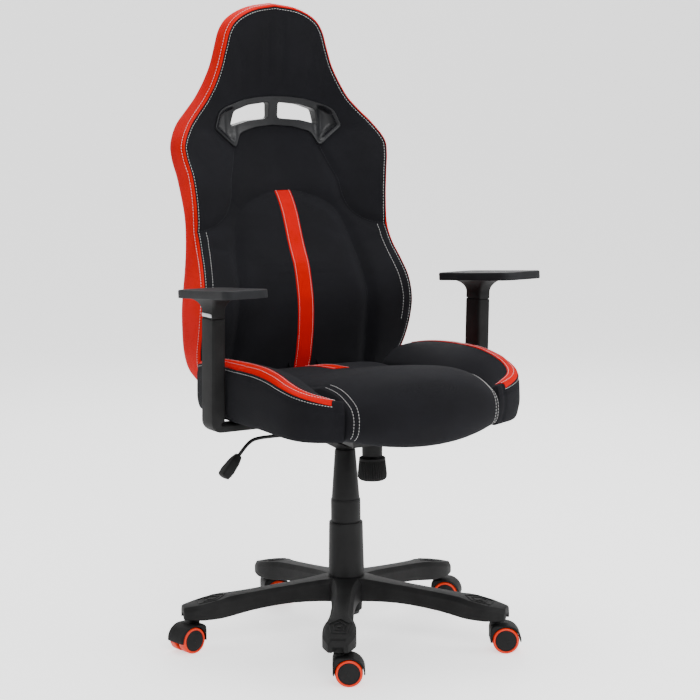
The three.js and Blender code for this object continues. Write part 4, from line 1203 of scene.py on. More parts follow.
def eased_corners(outline, radius, steps=4):
    """A closed outline with its corners rounded off."""
    outline = np.asarray(outline, float)
    made = []
    for i, corner in enumerate(outline):
        before, after = outline[i - 1] - corner, outline[(i + 1) % len(outline)] - corner
        reach = min(radius, 0.45 * np.linalg.norm(before), 0.45 * np.linalg.norm(after))
        a = corner + before / np.linalg.norm(before) * reach
        b = corner + after / np.linalg.norm(after) * reach
        for t in np.linspace(0, 1, steps):
            made.append((1 - t) ** 2 * a + 2 * t * (1 - t) * corner + t * t * b)
    return np.array(made)


def make_vent():
    """Two bezels back to back. The front one follows the cushion, and both line the opening."""
    rim = evenly(eased_corners(VENT_RIM, 7 * MM), 150, closed=True)
    openings = [evenly(eased_corners(window_outline(sign), 5 * MM), 60, closed=True) for sign, _ in SIDES]
    rear = [evenly(eased_corners(rear_opening(), 6 * MM), 120, closed=True)]
    for node, holes in (("vent_front_bezel", openings), ("vent_rear_bezel", rear)):
        near, far = low(node)[1], high(node)[1]
        obj = moulded_plate(
            node.replace("_bezel", "_frame"), [rim, *holes], far - near, 1.8 * MM, GLOSS_PLASTIC
        )
        subdivide_long_edges(obj, 6 * MM)
        obj.data.transform(Matrix.Translation((AXIS_X, (near + far) / 2, BACK_FOOT)))
        if node == "vent_front_bezel":
            reshape(obj, lambda p, near=near, far=far: lay_on_front(p, near, far))
        wear(obj, "seat", "gloss_plastic", node)


def subdivide_long_edges(obj, longest):
    bm = bmesh.new()
    bm.from_mesh(obj.data)
    bmesh.ops.triangulate(bm, faces=[f for f in bm.faces if len(f.verts) > 4])
    for _ in range(4):
        long = [e for e in bm.edges if e.calc_length() > longest]
        if not long:
            break
        bmesh.ops.subdivide_edges(bm, edges=long, cuts=1)
        bmesh.ops.triangulate(bm, faces=[f for f in bm.faces if len(f.verts) > 4])
    bm.to_mesh(obj.data)
    bm.free()
    obj.data.shade_smooth()
    obj.data.set_sharp_from_angle(angle=math.radians(38))


def lay_on_front(p, near, far):
    """Bends a bezel so that its face lies just proud of the cushion while its back stays flat.

    Its lower ends are sunk into facets between the windows and the points."""
    height = p[:, 2] - BACK_FOOT
    depth = np.clip((p[:, 1] - near) / (far - near), 0, 1)
    face = front_y(p[:, 0], height, sewn=False) - 4.0 * MM
    wide = high("vent_front_bezel")[0]
    tip = soft_step(0.60 * wide, 0.78 * wide, np.abs(p[:, 0]))
    rim = distance_to(VENT_LOOP, p[:, 0], height)
    face = face + tip * 14 * MM * soft_step(2.2 * MM, 12 * MM, rim)
    return np.column_stack([p[:, 0], face + (far - face) * depth, p[:, 2]])


# ---------------------------------------------------------------- seat
SEAT_BASE = high("seat_board")[2] + 0.3 * MM
NOSE = low("seat_cushion")[1]
SEAT_REAR = high("seat_cushion")[1]
CENTRE_HALF = (high("seat_cushion")[0] - low("seat_cushion")[0]) / 2
BOLSTER_INNER = CENTRE_HALF + 1 * MM
BOLSTER_FRONT = low("seat_bolster_left")[1]
BOLSTER_REAR = high("seat_bolster_left")[1]


def centre_section(side, sewn):
    """The middle cushion's outline at a share across: rear, underside, nose and back over the top."""
    bow = 1 - side * side
    front = NOSE + 32 * MM * (1 - bow)
    crown = SEAT_BASE + (84 + 17 * bow) * MM
    shoulder = 13 * MM * abs(side) ** 7 if sewn else 0
    points = [
        (SEAT_REAR, SEAT_BASE),
        (front + 96 * MM, SEAT_BASE - (8 + 16 * bow) * MM),
        (front + 60 * MM, SEAT_BASE - (11 + 19 * bow) * MM),
        (front + 24 * MM, SEAT_BASE - (19 * bow + 7) * MM),
        (front + 5 * MM, SEAT_BASE + 4 * MM),
        (front, SEAT_BASE + 30 * MM),
        (front + 7 * MM, SEAT_BASE + 57 * MM),
        (front + 30 * MM, crown - 15 * MM),
        (front + 68 * MM, crown - 3 * MM),
        (front + 120 * MM, crown),
        (-165 * MM, crown - 4 * MM),
        (-115 * MM, crown - 11.5 * MM),
        (-55 * MM, crown - 22 * MM),
        (5 * MM, SEAT_BASE + (58 + 10 * bow) * MM),
        (70 * MM, SEAT_BASE + 65 * MM),
        (SEAT_REAR - 14 * MM, SEAT_BASE + 61 * MM),
        (SEAT_REAR, SEAT_BASE + 44 * MM),
    ]
    line = evenly(rounded(points, closed=True), SEAT_ROUND, closed=True)
    over = soft_step(SEAT_BASE + 20 * MM, SEAT_BASE + 60 * MM, line[:, 1])
    line[:, 1] -= shoulder * over
    nose = soft_step(front + 60 * MM, front, line[:, 0])
    line[:, 0] += 6 * MM * abs(side) ** 9 * nose * sewn
    return line


SEAT_ROUND = 190
SEAT_ACROSS = 96
NOSE_STITCHES = (CENTRE_HALF - 5 * MM, CENTRE_HALF - 13 * MM)
NOSE_STITCH_END = -200 * MM
STRIPE_ENDS = (8 * MM, 128 * MM)


def seat_shell(sewn):
    shares = np.linspace(-1, 1, SEAT_ACROSS + 1)
    shares = shares * (1.25 - 0.25 * shares**2)
    rings = []
    for share in shares:
        line = centre_section(share, sewn)
        x = np.full(len(line), share * CENTRE_HALF)
        if sewn:
            groove = 1.5 * MM * hollow(abs(share) * CENTRE_HALF - NOSE_STITCHES[0] + 4 * MM, 0.0018)
            top = soft_step(SEAT_BASE + 10 * MM, SEAT_BASE + 40 * MM, line[:, 1])
            line = line - np.column_stack([0 * x, groove * top])
        rings.append(np.column_stack([x, line]))
    return loft(rings)


def make_seat_cushion():
    def held(p):
        return (p[:, 2] < SEAT_BASE + 6 * MM) | (
            np.abs(p[:, 0]) > CENTRE_HALF - 5 * MM
        ) | (p[:, 1] > SEAT_REAR - 0.02)

    slim, faces = seat_shell(sewn=False)
    centre = slim.mean(0)
    carried = stuffing((centre + (slim - centre) * [1, 0.992, 0.985], faces), 0.006, 0.007, held)
    points, faces = seat_shell(sewn=True)
    points = points + carried(points)
    obj = piece("seat_centre_cover", (points, faces), BLACK_CLOTH, 180)
    wear(obj, "seat", "black_fabric", "seat_cushion")
    return carried


def laid_on_seat(x, upper, carried):
    """A section's points at a place across, once padded, with the direction out of the cushion."""
    points = np.column_stack([np.full(len(upper), x), upper])
    points = points + carried(points)
    along = np.gradient(points, axis=0)
    along /= np.maximum(np.linalg.norm(along, axis=1, keepdims=True), 1e-9)
    return points, np.column_stack([0 * points[:, 0], -along[:, 2], along[:, 1]])


def seat_middle_line(start, stop, carried):
    """The top of the middle cushion along its own middle, between two y values."""
    line = centre_section(0, True)
    upper = line[line[:, 1] > SEAT_BASE + 30 * MM]
    upper = upper[(upper[:, 0] > start) & (upper[:, 0] < stop)]
    return laid_on_seat(0, upper, carried)


def nose_line(x, carried):
    """A line of stitches up the nose at a place across, from its underside over its front."""
    line = centre_section(abs(x) / CENTRE_HALF, True)
    first = np.argmin(np.abs(line[:, 0] - (NOSE + 46 * MM)) + 9 * (line[:, 1] > SEAT_BASE + 20 * MM))
    upper = line[first:]
    points, outward = laid_on_seat(x, upper[upper[:, 0] < NOSE_STITCH_END], carried)
    return points + outward * 0.3 * MM


def make_seat_trim(carried):
    path, outward = seat_middle_line(*STRIPE_ENDS, carried)
    across = np.tile([1.0, 0, 0], (len(path), 1))
    strip = ribbon("seat_stripe", path, across, outward, STRIPE_HALF, RED_LEATHER)
    wear(strip, "seat", "red_leather")
    edges = [path + outward * 1.3 * MM + [s * (STRIPE_HALF - 3 * MM), 0, 0] for s in (-1, 1)]
    wear(
        stitch_lines("seat_stripe_stitching", edges, WHITE_THREAD, 0.0052, 0.0038, 0.00045), "seat", "thread"
    )
    lines = [nose_line(sign * x, carried) for x in NOSE_STITCHES for sign, _ in SIDES]
    wear(stitch_lines("seat_nose_stitching", lines, WHITE_THREAD), "seat", "thread")


# The bolster's outer edge seen from above, from its rear to its front, in millimetres from the lift's axis,
# and the height of the top over the board.
BOLSTER_PLAN = (
    (250, 122, 92), (257, 80, 99), (262, 30, 103), (264, -30, 105), (262.5, -85, 105.5), (258, -130, 104),
    (254, -175, 98), (248, -212, 88), (238, -238, 80), (222, -257, 73), (200, -270, 67), (178, -279, 63),
    (161, -284, 61),
)  # fmt: skip
BOLSTER_STATIONS = 120
BOLSTER_ROUND = 110
# Round a bolster: share from the inner side to the outer edge, then height below the top in millimetres
# or above the board.
STRIP_INNER_SHARE = 0.70
STRIP_OUTER_SHARE = 0.985


def bolster_section(width, rise):
    """A section's (across, height) points: inner wall, crown, strip, outer wall and underside."""
    valley = rise * 0.60 + 4 * MM
    bulge = 2.5 * MM
    return np.array(
        [
            (0.02 * width, -1 * MM),
            (0, 12 * MM),
            (0, valley - 14 * MM),
            (0.02 * width, valley),
            (0.16 * width, valley + (rise - valley) * 0.45),
            (0.36 * width, valley + (rise - valley) * 0.82),
            (0.56 * width, rise - 1.2 * MM),
            (0.74 * width, rise + 0.8 * MM),
            (0.90 * width, rise),
            (width - 1.5 * MM, rise - 4.5 * MM),
            (width + 0.6 * bulge, rise - 16 * MM),
            (width + bulge, rise * 0.55),
            (width + 0.8 * bulge, 18 * MM),
            (width - 4 * MM, 2 * MM),
            (width - 14 * MM if width > 40 * MM else 0.7 * width, -2 * MM),
            (0.4 * width, -2.5 * MM),
        ]
    )


def bolster_frame():
    """For each station, rear to front: the inner point, the direction outwards, the width and the rise."""
    plan = evenly(rounded(np.array(BOLSTER_PLAN) * MM), BOLSTER_STATIONS)
    inner_y = np.linspace(BOLSTER_REAR, BOLSTER_FRONT + 10 * MM, BOLSTER_STATIONS)
    turn = soft_step(0.45, 1.0, np.linspace(0, 1, BOLSTER_STATIONS))
    inner_y = plan[:, 1] * (1 - turn) + np.maximum(plan[:, 1] + 26 * MM * turn, inner_y) * turn
    made = []
    for (x, y, rise), start in zip(plan, inner_y):
        inner = np.array([BOLSTER_INNER, start])
        reach = np.array([x, y]) - inner
        width = np.linalg.norm(reach)
        made.append((inner, reach / width, width, rise))
    return made


def bolster_rings(sign, sewn):
    rings = []
    frames = bolster_frame()
    for number, (inner, away, width, rise) in enumerate(frames):
        share = number / (len(frames) - 1)
        line = evenly(rounded(bolster_section(width, rise), closed=True, steps=8), BOLSTER_ROUND, closed=True)
        line[:, 1] -= 9 * MM * soft_step(0.5, 0.9, share) * soft_step(12 * MM, -2 * MM, line[:, 1])
        if sewn:
            line[:, 0] -= 2.2 * MM * hollow(share - 0.962, 0.007) * (line[:, 0] > 0.5 * width)
            below = rise - 16 * MM
            wall = line[:, 0] > 0.9 * width
            line[:, 0] -= 1.4 * MM * hollow(line[:, 1] - below, 0.002) * wall
        place = inner + np.outer(line[:, 0], away)
        rings.append(np.column_stack([sign * place[:, 0], place[:, 1], SEAT_BASE + line[:, 1]]))
    return rings


def bolster_point(frame_at, across, lift=0.0):
    """A point on top of a bolster at a share across a station."""
    inner, away, width, rise = frame_at
    line = rounded(bolster_section(width, rise), closed=True, steps=8)
    top = line[(line[:, 1] > 0.45 * rise)]
    crown = top[: np.argmax(top[:, 0])]
    height = np.interp(across * width, crown[:, 0], crown[:, 1])
    place = inner + away * across * width
    return np.array([place[0], place[1], SEAT_BASE + height + lift])


def wall_point(frame_at, drop, proud=0.4 * MM):
    """A point on a bolster's outer wall, a distance below its top."""
    inner, away, width, rise = frame_at
    line = rounded(bolster_section(width, rise), closed=True, steps=8)
    wall = line[(line[:, 0] > 0.8 * width) & (line[:, 1] > 5 * MM)]
    order = np.argsort(wall[:, 1])
    out = np.interp(rise - drop, wall[order, 1], wall[order, 0]) + proud
    place = inner + away * out
    return np.array([place[0], place[1], SEAT_BASE + rise - drop])


def make_bolsters():
    for sign, side in SIDES:
        def held(p):
            return (p[:, 2] < SEAT_BASE + 5 * MM) | (
                np.abs(p[:, 0]) < BOLSTER_INNER + 5 * MM
            ) | (p[:, 1] > BOLSTER_REAR - 8 * MM)

        carried = stuffing(loft(bolster_rings(sign, sewn=False)), 0.006, 0.004, held)
        points, faces = loft(bolster_rings(sign, sewn=True))
        points = points + carried(points)
        obj = piece("bolster_cover_" + side, (points, faces), BLACK_CLOTH, 180)
        wear(obj, "seat", "black_fabric", "seat_bolster_" + side)
        make_bolster_trim(sign, side, carried)


def make_bolster_trim(sign, side, carried):
    frames = bolster_frame()
    last = int(0.955 * len(frames))
    used = frames[1:last]
    mirror = np.array([sign, 1, 1])
    rings = []
    shares = np.linspace(0, 1, 9)
    inner_line, middle_line, under_line = [], [], []
    for number, at in enumerate(used):
        width = at[2]
        narrow = soft_step(0.55, 1.0, number / len(used))
        inner_share = STRIP_INNER_SHARE * (1 - narrow) + max(0.1, 1 - 20 * MM / width) * narrow
        across = inner_share + (STRIP_OUTER_SHARE - inner_share) * shares
        top = [bolster_point(at, a, 1.2 * MM) for a in across]
        bottom = [bolster_point(at, a, -1.5 * MM) for a in (across[-1], across[0])]
        rings.append([p * mirror for p in [*top, *bottom]])
        inner_line.append(bolster_point(at, across[1], 1.5 * MM))
        middle_line.append(bolster_point(at, across[5], 1.5 * MM))
        under_line.append(wall_point(at, 9 * MM))
    points, faces = loft(rings)
    points = points + carried(points)
    wear(piece("bolster_strip_" + side, (points, faces), RED_LEATHER, 60), "seat", "red_leather")
    lines = [np.array(line) * mirror for line in (inner_line, middle_line, under_line)]
    lines = [line + carried(line) for line in lines]
    wear(
        stitch_lines("bolster_stitching_" + side, lines, WHITE_THREAD, 0.0052, 0.0038, 0.00045),
        "seat",
        "thread"
    )


# ---------------------------------------------------------------- rounded solids
def edge_fall(t, radius):
    """How far a rounded edge has fallen in from the side at a share t of the radius from the end."""
    return radius * (1 - math.sqrt(max(0, 1 - (1 - t) ** 2)))


def slab(outline, bottom, top, edge, steps=4):
    """A flat solid with an (x, y) outline and its upper and lower edges rounded."""
    outline = np.asarray(outline, float)
    inward = outline - outline.mean(0)
    normal = np.gradient(np.vstack([outline[-1:], outline, outline[:1]]), axis=0)[1:-1]
    normal = np.column_stack([normal[:, 1], -normal[:, 0]])
    normal /= np.maximum(np.linalg.norm(normal, axis=1, keepdims=True), 1e-9)
    normal *= np.sign((normal * inward).sum(1).mean())
    rings = []
    for end, direction in ((bottom, 1), (top, -1)):
        shares = np.linspace(0, 1, steps + 1)
        for t in shares if direction > 0 else shares[::-1]:
            ring = outline - normal * edge_fall(t, edge)
            rings.append(np.column_stack([ring, np.full(len(ring), end + direction * t * edge)]))
    return loft(rings)


def rounded_block(lowest, highest, edge, corner=None):
    lowest, highest = np.asarray(lowest, float), np.asarray(highest, float)
    centre, half = (lowest + highest) / 2, (highest - lowest) / 2
    outline = rounded_rectangle(half[0], half[1], corner or edge) + centre[:2]
    return slab(outline, lowest[2], highest[2], edge)


def dress(node, body, slot, finish, width=1.2 * MM):
    """The frame piece itself with its edges rounded, for parts that need no more than that."""
    return wear(softened(node, finish, width), body, slot, node)


# ---------------------------------------------------------------- armrests
POST = (low("arm_post_left"), high("arm_post_left"))
PAD = (low("arm_pad_left"), high("arm_pad_left"))
BUTTON = (low("arm_button_left"), high("arm_button_left"))
POST_WIDTH, POST_DEPTH = 26 * MM, 50 * MM
POST_X = POST[1][0] - POST_WIDTH / 2
POST_LEAN = math.tan(math.radians(2.6))
POST_FOOT_Y = POST[1][1] - POST_DEPTH / 2
PAD_TURN, PAD_PITCH = math.radians(2.6), math.radians(4.3)
PAD_LENGTH, PAD_WIDTH, PAD_THICK = 242 * MM, 86 * MM, 15.3 * MM


def post_y(z):
    return POST_FOOT_Y - (z - POST[0][2]) * POST_LEAN


def post_ring(half_x, half_y, corner, z):
    outline = rounded_rectangle(half_x, half_y, corner, 5)
    return np.column_stack([POST_X + outline[:, 0], post_y(z) + outline[:, 1], np.full(len(outline), z)])


def arm_post_shell():
    """The sleeve, which bends at its foot into a bar that runs in under the seat."""
    foot, top = POST[0][2], POST[1][2]
    bar = 7 * MM
    bend = 21 * MM
    path = [(POST[0][0], foot + bar, bar, 21 * MM)]
    path += [(POST_X - bend - 16 * MM, foot + bar, bar, 22 * MM)]
    corner = np.array([POST_X + POST_WIDTH / 2 - bend, foot + bend])
    rings = []
    for x, z, half, deep in path:
        outline = rounded_rectangle(deep, half, 4 * MM, 5)
        rings.append(
            np.column_stack([np.full(len(outline), x), post_y(z) + outline[:, 0], z + outline[:, 1]])
        )
    for share in np.linspace(0, 1, 9):
        angle = share * math.pi / 2
        outer = corner + bend * np.array([math.sin(angle), -math.cos(angle)])
        half = (bar + (POST_WIDTH / 2 - bar) * share) * (1 + 0.12 * math.sin(math.pi * share))
        inward = np.array([-math.sin(angle), math.cos(angle)])
        centre = outer + inward * half
        deep = 22 * MM + (POST_DEPTH / 2 - 22 * MM) * share
        outline = rounded_rectangle(deep, half, 4 * MM + 1 * MM * share, 5)
        x = centre[0] + outline[:, 1] * inward[0]
        z = centre[1] + outline[:, 1] * inward[1]
        rings.append(np.column_stack([x, post_y(z) + outline[:, 0], z]))
    for z in (foot + 60 * MM, (foot + top) / 2, top - 4 * MM, top - 2.2 * MM, top - 0.8 * MM, top):
        inset = edge_fall(min(1, (top - z) / (2.2 * MM)), 2.2 * MM)
        outline = rounded_rectangle(POST_DEPTH / 2 - inset, POST_WIDTH / 2 - inset, 5 * MM, 5)
        x = POST_X - outline[:, 1]
        rings.append(np.column_stack([x, post_y(z) + outline[:, 0], np.full(len(outline), z)]))
    return loft(rings)


def arm_upper_shell():
    """The moving neck: a straight collar that flares out fore and aft under the pad."""
    start = POST[1][2] + 0.35 * MM
    straight = start + 12 * MM
    rings = []
    for z in (start, start + 0.5 * MM, start + 1.5 * MM, straight):
        inset = edge_fall(min(1, (z - start) / (1.5 * MM)), 1.5 * MM)
        rings.append(post_ring(POST_WIDTH / 2 - inset, POST_DEPTH / 2 - inset, 5 * MM, z))
    for share in np.linspace(0.08, 1, 24):
        out = 1 - math.sqrt(1 - share**2 * 0.985)
        outline = rounded_rectangle(
            POST_WIDTH / 2 + 15 * MM * out, POST_DEPTH / 2 + 45 * MM * out, (5 + 8 * out) * MM, 5
        )
        y = post_y(straight) + outline[:, 1]
        under = pad_underside(y) - 0.3 * MM
        z = straight + (under - straight) * share
        rings.append(np.column_stack([POST_X + outline[:, 0], y, z]))
    tongue = []
    for z in (POST[1][2] - 90 * MM, POST[1][2] - 2 * MM, start + 2 * MM):
        tongue.append(post_ring(8.5 * MM, 19 * MM, 3 * MM, z))
    return joined(loft(rings), loft(tongue))


PAD_CENTRE_Y = (PAD[0][1] + PAD[1][1]) / 2


def pad_underside(y):
    return middle("arm_pad_left")[2] - PAD_THICK / 2 - (y - PAD_CENTRE_Y) * math.tan(PAD_PITCH)


def pad_shell(sign):
    outline = evenly(rounded_rectangle(PAD_WIDTH / 2, PAD_LENGTH / 2, 22 * MM, 10), 120, closed=True)
    normal = outline / np.linalg.norm(outline, axis=1, keepdims=True)
    rings = []
    edge = 3.2 * MM
    for t in (0, 0.25, 0.55, 1):
        rings.append(np.column_stack([outline - normal * edge_fall(t, 1.6 * MM), np.full(120, t * 1.6 * MM)]))
    for t in (1, 0.7, 0.45, 0.25, 0.1, 0):
        rings.append(
            np.column_stack([outline - normal * edge_fall(t, edge), np.full(120, PAD_THICK - t * edge)])
        )
    for share in (0.9, 0.7, 0.4, 0.15):
        ring = outline * share
        rings.append(np.column_stack([ring, np.full(120, PAD_THICK + 0.5 * MM * (1 - share))]))
    centre = middle("arm_pad_left")
    turn = Matrix.Rotation(sign * PAD_TURN, 4, "Z") @ Matrix.Rotation(-PAD_PITCH, 4, "X")
    place = Matrix.Translation((sign * centre[0], centre[1], centre[2]))
    return moved(loft(rings), place @ turn @ Matrix.Translation((0, 0, -PAD_THICK / 2)))


def make_arms():
    for sign, side in SIDES:
        wear(
            piece("arm_sleeve_" + side, mirrored(arm_post_shell(), sign), NYLON, 42),
            "seat",
            "nylon",
            "arm_post_" + side
        )
        neck = piece("arm_neck_" + side, mirrored(arm_upper_shell(), sign), NYLON, 42)
        wear(neck, "arm_" + side, "nylon", "arm_upper_" + side)
        pad = piece("arm_rest_" + side, pad_shell(sign), PAD_RUBBER, 50)
        wear(pad, "arm_" + side, "soft_plastic", "arm_pad_" + side)
        button = rounded_block(BUTTON[0] + [2 * MM, 0, 0], BUTTON[1], 1.1 * MM, 2 * MM)
        key = piece("arm_key_" + side, mirrored(button, sign), BRIGHT_STEEL, 60)
        wear(key, "button_" + side, "bright_steel", "arm_button_" + side)
        x = sign * POST_X
        under = [(x + dx, post_y(0.66) + dy, 0) for dx in (-9 * MM, 9 * MM) for dy in (-55 * MM, 55 * MM)]
        places = [(a, b, pad_underside(b) - 0.6 * MM) for a, b, _ in under]
        wear(
            screws("arm_screws_" + side, places, [(0, 0, -1)] * 4, BLACK_STEEL, 4 * MM, 2.2 * MM),
            "arm_" + side,
            "black_steel"
        )
        bolts = [
            (sign * (POST[0][0] + dx), POST_FOOT_Y + dy, POST[0][2] - 1 * MM) for dx in (16 * MM, 62 * MM)
            for dy in (-12 * MM, 12 * MM)
        ]
        wear(
            screws("arm_bolts_" + side, bolts, [(0, 0, -1)] * 4, BLACK_STEEL, 6 * MM, 3.4 * MM),
            "seat",
            "black_steel"
        )


# ---------------------------------------------------------------- lift and mechanism
def turned_shell(node, profile):
    """A lathed shell standing on a frame piece's own axis, from (radius, height) pairs."""
    centre = middle(node)
    return shifted(lathe(profile, 64), centre[0], centre[1])


def stage_profile(node, wall, lip, taper=0.0):
    """One sleeve of the telescopic cover with a rounded lip at its top."""
    bottom, top = low(node)[2], high(node)[2]
    wide = (high(node)[0] - low(node)[0]) / 2
    narrow = wide - taper
    return [
        (wide - wall, bottom),
        (wide - 0.8 * MM, bottom),
        (wide, bottom + 1 * MM),
        (narrow + 0.2 * MM, top - lip),
        (narrow, top - 1.6 * MM),
        (narrow - 0.5 * MM, top - 0.4 * MM),
        (narrow - 1.5 * MM, top),
        (narrow - wall - 1 * MM, top - 0.2 * MM),
        (narrow - wall - 1.4 * MM, top - 2.4 * MM),
        (wide - wall, bottom),
    ]


def make_lift():
    lower = piece(
        "cover_lower_shell",
        turned_shell("cover_lower", stage_profile("cover_lower", 2 * MM, 6 * MM, 2 * MM)),
        SOFT_PLASTIC,
        36
    )
    wear(lower, "base", "soft_plastic", "cover_lower")
    mid = piece(
        "cover_middle_shell",
        turned_shell("cover_middle", stage_profile("cover_middle", 1.2 * MM, 6 * MM, 0.4 * MM)),
        SOFT_PLASTIC,
        36
    )
    wear(mid, "cover_middle", "soft_plastic", "cover_middle")
    bottom, top = low("cover_upper")[2], high("cover_upper")[2]
    wide = (high("cover_upper")[0] - low("cover_upper")[0]) / 2
    shoulder = bottom + 64 * MM
    narrow = wide - 7.5 * MM
    profile = [
        (wide - 1.6 * MM, bottom), (wide, bottom + 1 * MM), (wide, shoulder),
        (narrow + 0.4 * MM, top - 3 * MM),
        (narrow - 0.3 * MM, top - 0.6 * MM), (narrow - 1 * MM, top), (narrow - 2.4 * MM, top),
        (wide - 1.6 * MM, shoulder),
        (wide - 1.6 * MM, bottom),
    ]  # fmt: skip
    upper = piece("cover_upper_shell", turned_shell("cover_upper", profile), SOFT_PLASTIC, 36)
    wear(upper, "lift", "soft_plastic", "cover_upper")
    make_knob()
    make_lever()
    for node, body, slot, finish, width in (
        ("lift_column", "base", "black_steel", BLACK_STEEL, 1 * MM),
        ("thrust_bearing", "base", "bright_steel", BRIGHT_STEEL, 0.5 * MM),
        ("guide_bush", "base", "nylon", NYLON, 0.5 * MM),
        ("piston_rod", "swivel", "bright_steel", BRIGHT_STEEL, 0.5 * MM),
        ("pressure_tube", "lift", "black_steel", BLACK_STEEL, 1 * MM),
        ("mechanism_housing", "lift", "black_steel", BLACK_STEEL, 2.2 * MM),
        ("pivot_shaft", "lift", "bright_steel", BRIGHT_STEEL, 0.8 * MM),
        ("tension_spring", "lift", "spring_steel", SPRING_STEEL, 1.5 * MM),
        ("valve_pin", "valve", "bright_steel", BRIGHT_STEEL, 0.4 * MM),
        ("lever_bush", "lever_slider", "nylon", NYLON, 0.6 * MM),
        ("seat_plate", "seat", "black_steel", BLACK_STEEL, 1.2 * MM),
        ("seat_board", "seat", "plywood", LINING, 4 * MM),
        ("back_frame", "seat", "black_steel", BLACK_STEEL, 3 * MM),
        ("back_bracket", "seat", "black_steel", BLACK_STEEL, 1.6 * MM),
    ):
        dress(node, body, slot, finish, width)
    hang = low("mechanism_housing")[2]
    reshape(bpy.data.objects["mechanism_housing_shell"], lambda p: slimmer_underside(p, hang))


def slimmer_underside(p, hang):
    """Lifts the housing's flat underside everywhere but round the socket of the lift."""
    away = soft_step(24 * MM, 34 * MM, np.hypot(p[:, 0], p[:, 1]))
    near = 1 - soft_step(hang + 6 * MM, hang + 50 * MM, p[:, 2])
    return p + np.outer(away * near * 34 * MM, [0, 0, 1])


def make_knob():
    """The tension knob: many fine ribs between a plain collar and a rounded foot."""
    centre = middle("tension_knob")
    wide = (high("tension_knob")[0] - low("tension_knob")[0]) / 2
    bottom = low("tension_knob")[2]
    top = bottom + 43.3 * MM
    sides = 240
    angle = np.linspace(0, 2 * math.pi, sides, endpoint=False)
    ribs = np.clip(np.sin(angle * 40) * 1.4, -1, 1) * 0.5 - 0.5
    rings = []
    for radius, z, ribbed in (
        (wide - 15 * MM, bottom + 1.5 * MM, 0), (wide - 9 * MM, bottom, 0), (wide - 6.5 * MM, bottom, 0),
        (wide - 3.6 * MM, bottom + 1.2 * MM, 0.3),
        (wide - 1.8 * MM, bottom + 3 * MM, 1), (wide - 0.5 * MM, bottom + 6 * MM, 1),
        (wide - 0.2 * MM, bottom + 12 * MM, 1),
        (wide - 2.6 * MM, top - 8 * MM, 1), (wide - 3.0 * MM, top - 6.2 * MM, 1),
        (wide - 3.2 * MM, top - 5.8 * MM, 0),
        (wide - 2.8 * MM, top - 5.2 * MM, 0), (wide - 3.2 * MM, top - 1.4 * MM, 0), (wide - 4.8 * MM, top, 0),
        (6 * MM, top, 0),
        (5 * MM, top, 0), (5 * MM, high("tension_knob")[2], 0),
    ):  # fmt: skip
        reach = radius + ribs * 1.5 * MM * ribbed
        rings.append(np.column_stack([reach * np.cos(angle), reach * np.sin(angle), np.full(sides, z)]))
    knob = piece("knob_grip", shifted(loft(rings), centre[0], centre[1]), NYLON, 34)
    wear(knob, "knob", "nylon", "tension_knob")
    start, end = top + 2.5 * MM, high("mechanism_housing")[2] - 12 * MM
    skirt = [
        (16.2 * MM, start),
        (18.4 * MM, start),
        (19 * MM, start + 0.8 * MM),
        (19.6 * MM, end),
        (16.2 * MM, end),
        (16.2 * MM, start)
    ]
    cup = piece("spring_cup", shifted(lathe(skirt, 48), centre[0], centre[1]), NYLON, 34)
    wear(cup, "lift", "nylon")


def make_lever():
    rod_high = high("lever_rod")
    radius = 3.4 * MM
    y, z = middle("lever_rod")[1], rod_high[2] - 4 * MM
    line = np.array(
        [
            (-30, 0), (-84, 0), (-100, 2), (-118, 5.4), (-136, 7), (-156, 7.4), (-184, 7), (-198, 5),
            (-208, 0), (-217, -8), (-230, -22)
        ]
    ) * MM
    line = rounded(line, steps=8)
    path = np.column_stack([line[:, 0], np.full(len(line), y), z + line[:, 1]])
    rod = piece("lever_bar", tube(path, radius, 20), BLACK_STEEL, 50)
    wear(rod, "lever", "black_steel", "lever_rod")
    along = path[-1] - path[-4]
    along /= np.linalg.norm(along)
    across = np.array([along[2], 0, -along[0]])
    rings = []
    length = 51 * MM
    for share in np.linspace(0, 1, 61):
        half_y = (
            np.interp(share, (0, 0.05, 0.14, 0.3, 0.7, 0.92, 0.98, 1), (5.4, 7, 8, 11, 14.4, 14, 12, 9)) * MM
        )
        half_o = np.interp(
            share, (0, 0.05, 0.14, 0.3, 0.7, 0.92, 0.98, 1), (5, 7, 8.2, 9.4, 9.6, 8.4, 6.6, 4.4)
        ) * MM
        rib = 0.7 * MM * max(0, math.sin(share * math.pi * 2 * 6.5)) if 0.5 < share < 0.97 else 0
        outline = rounded_rectangle(half_y, half_o, 0.72 * min(half_y, half_o), 6)
        centre = path[-1] + along * (share * length - 1 * MM)
        ring = []
        for oy, oo in outline:
            ridge = rib * (oo < 0) * abs(oo) / half_o
            ring.append(centre + across * (oo - ridge) + np.array([0, oy, 0]))
        rings.append(ring)
    grip = piece("lever_paddle", loft(rings), NYLON, 40)
    wear(grip, "lever", "nylon", "lever_grip")


# ---------------------------------------------------------------- star base
STEMS = [middle("castor_stem_" + side)[:2] for side in CASTOR_SIDES]
STAR_LOW, STAR_HIGH = low("star_base")[2], high("star_base")[2]
TIP_LOW = STAR_LOW + 7.5 * MM
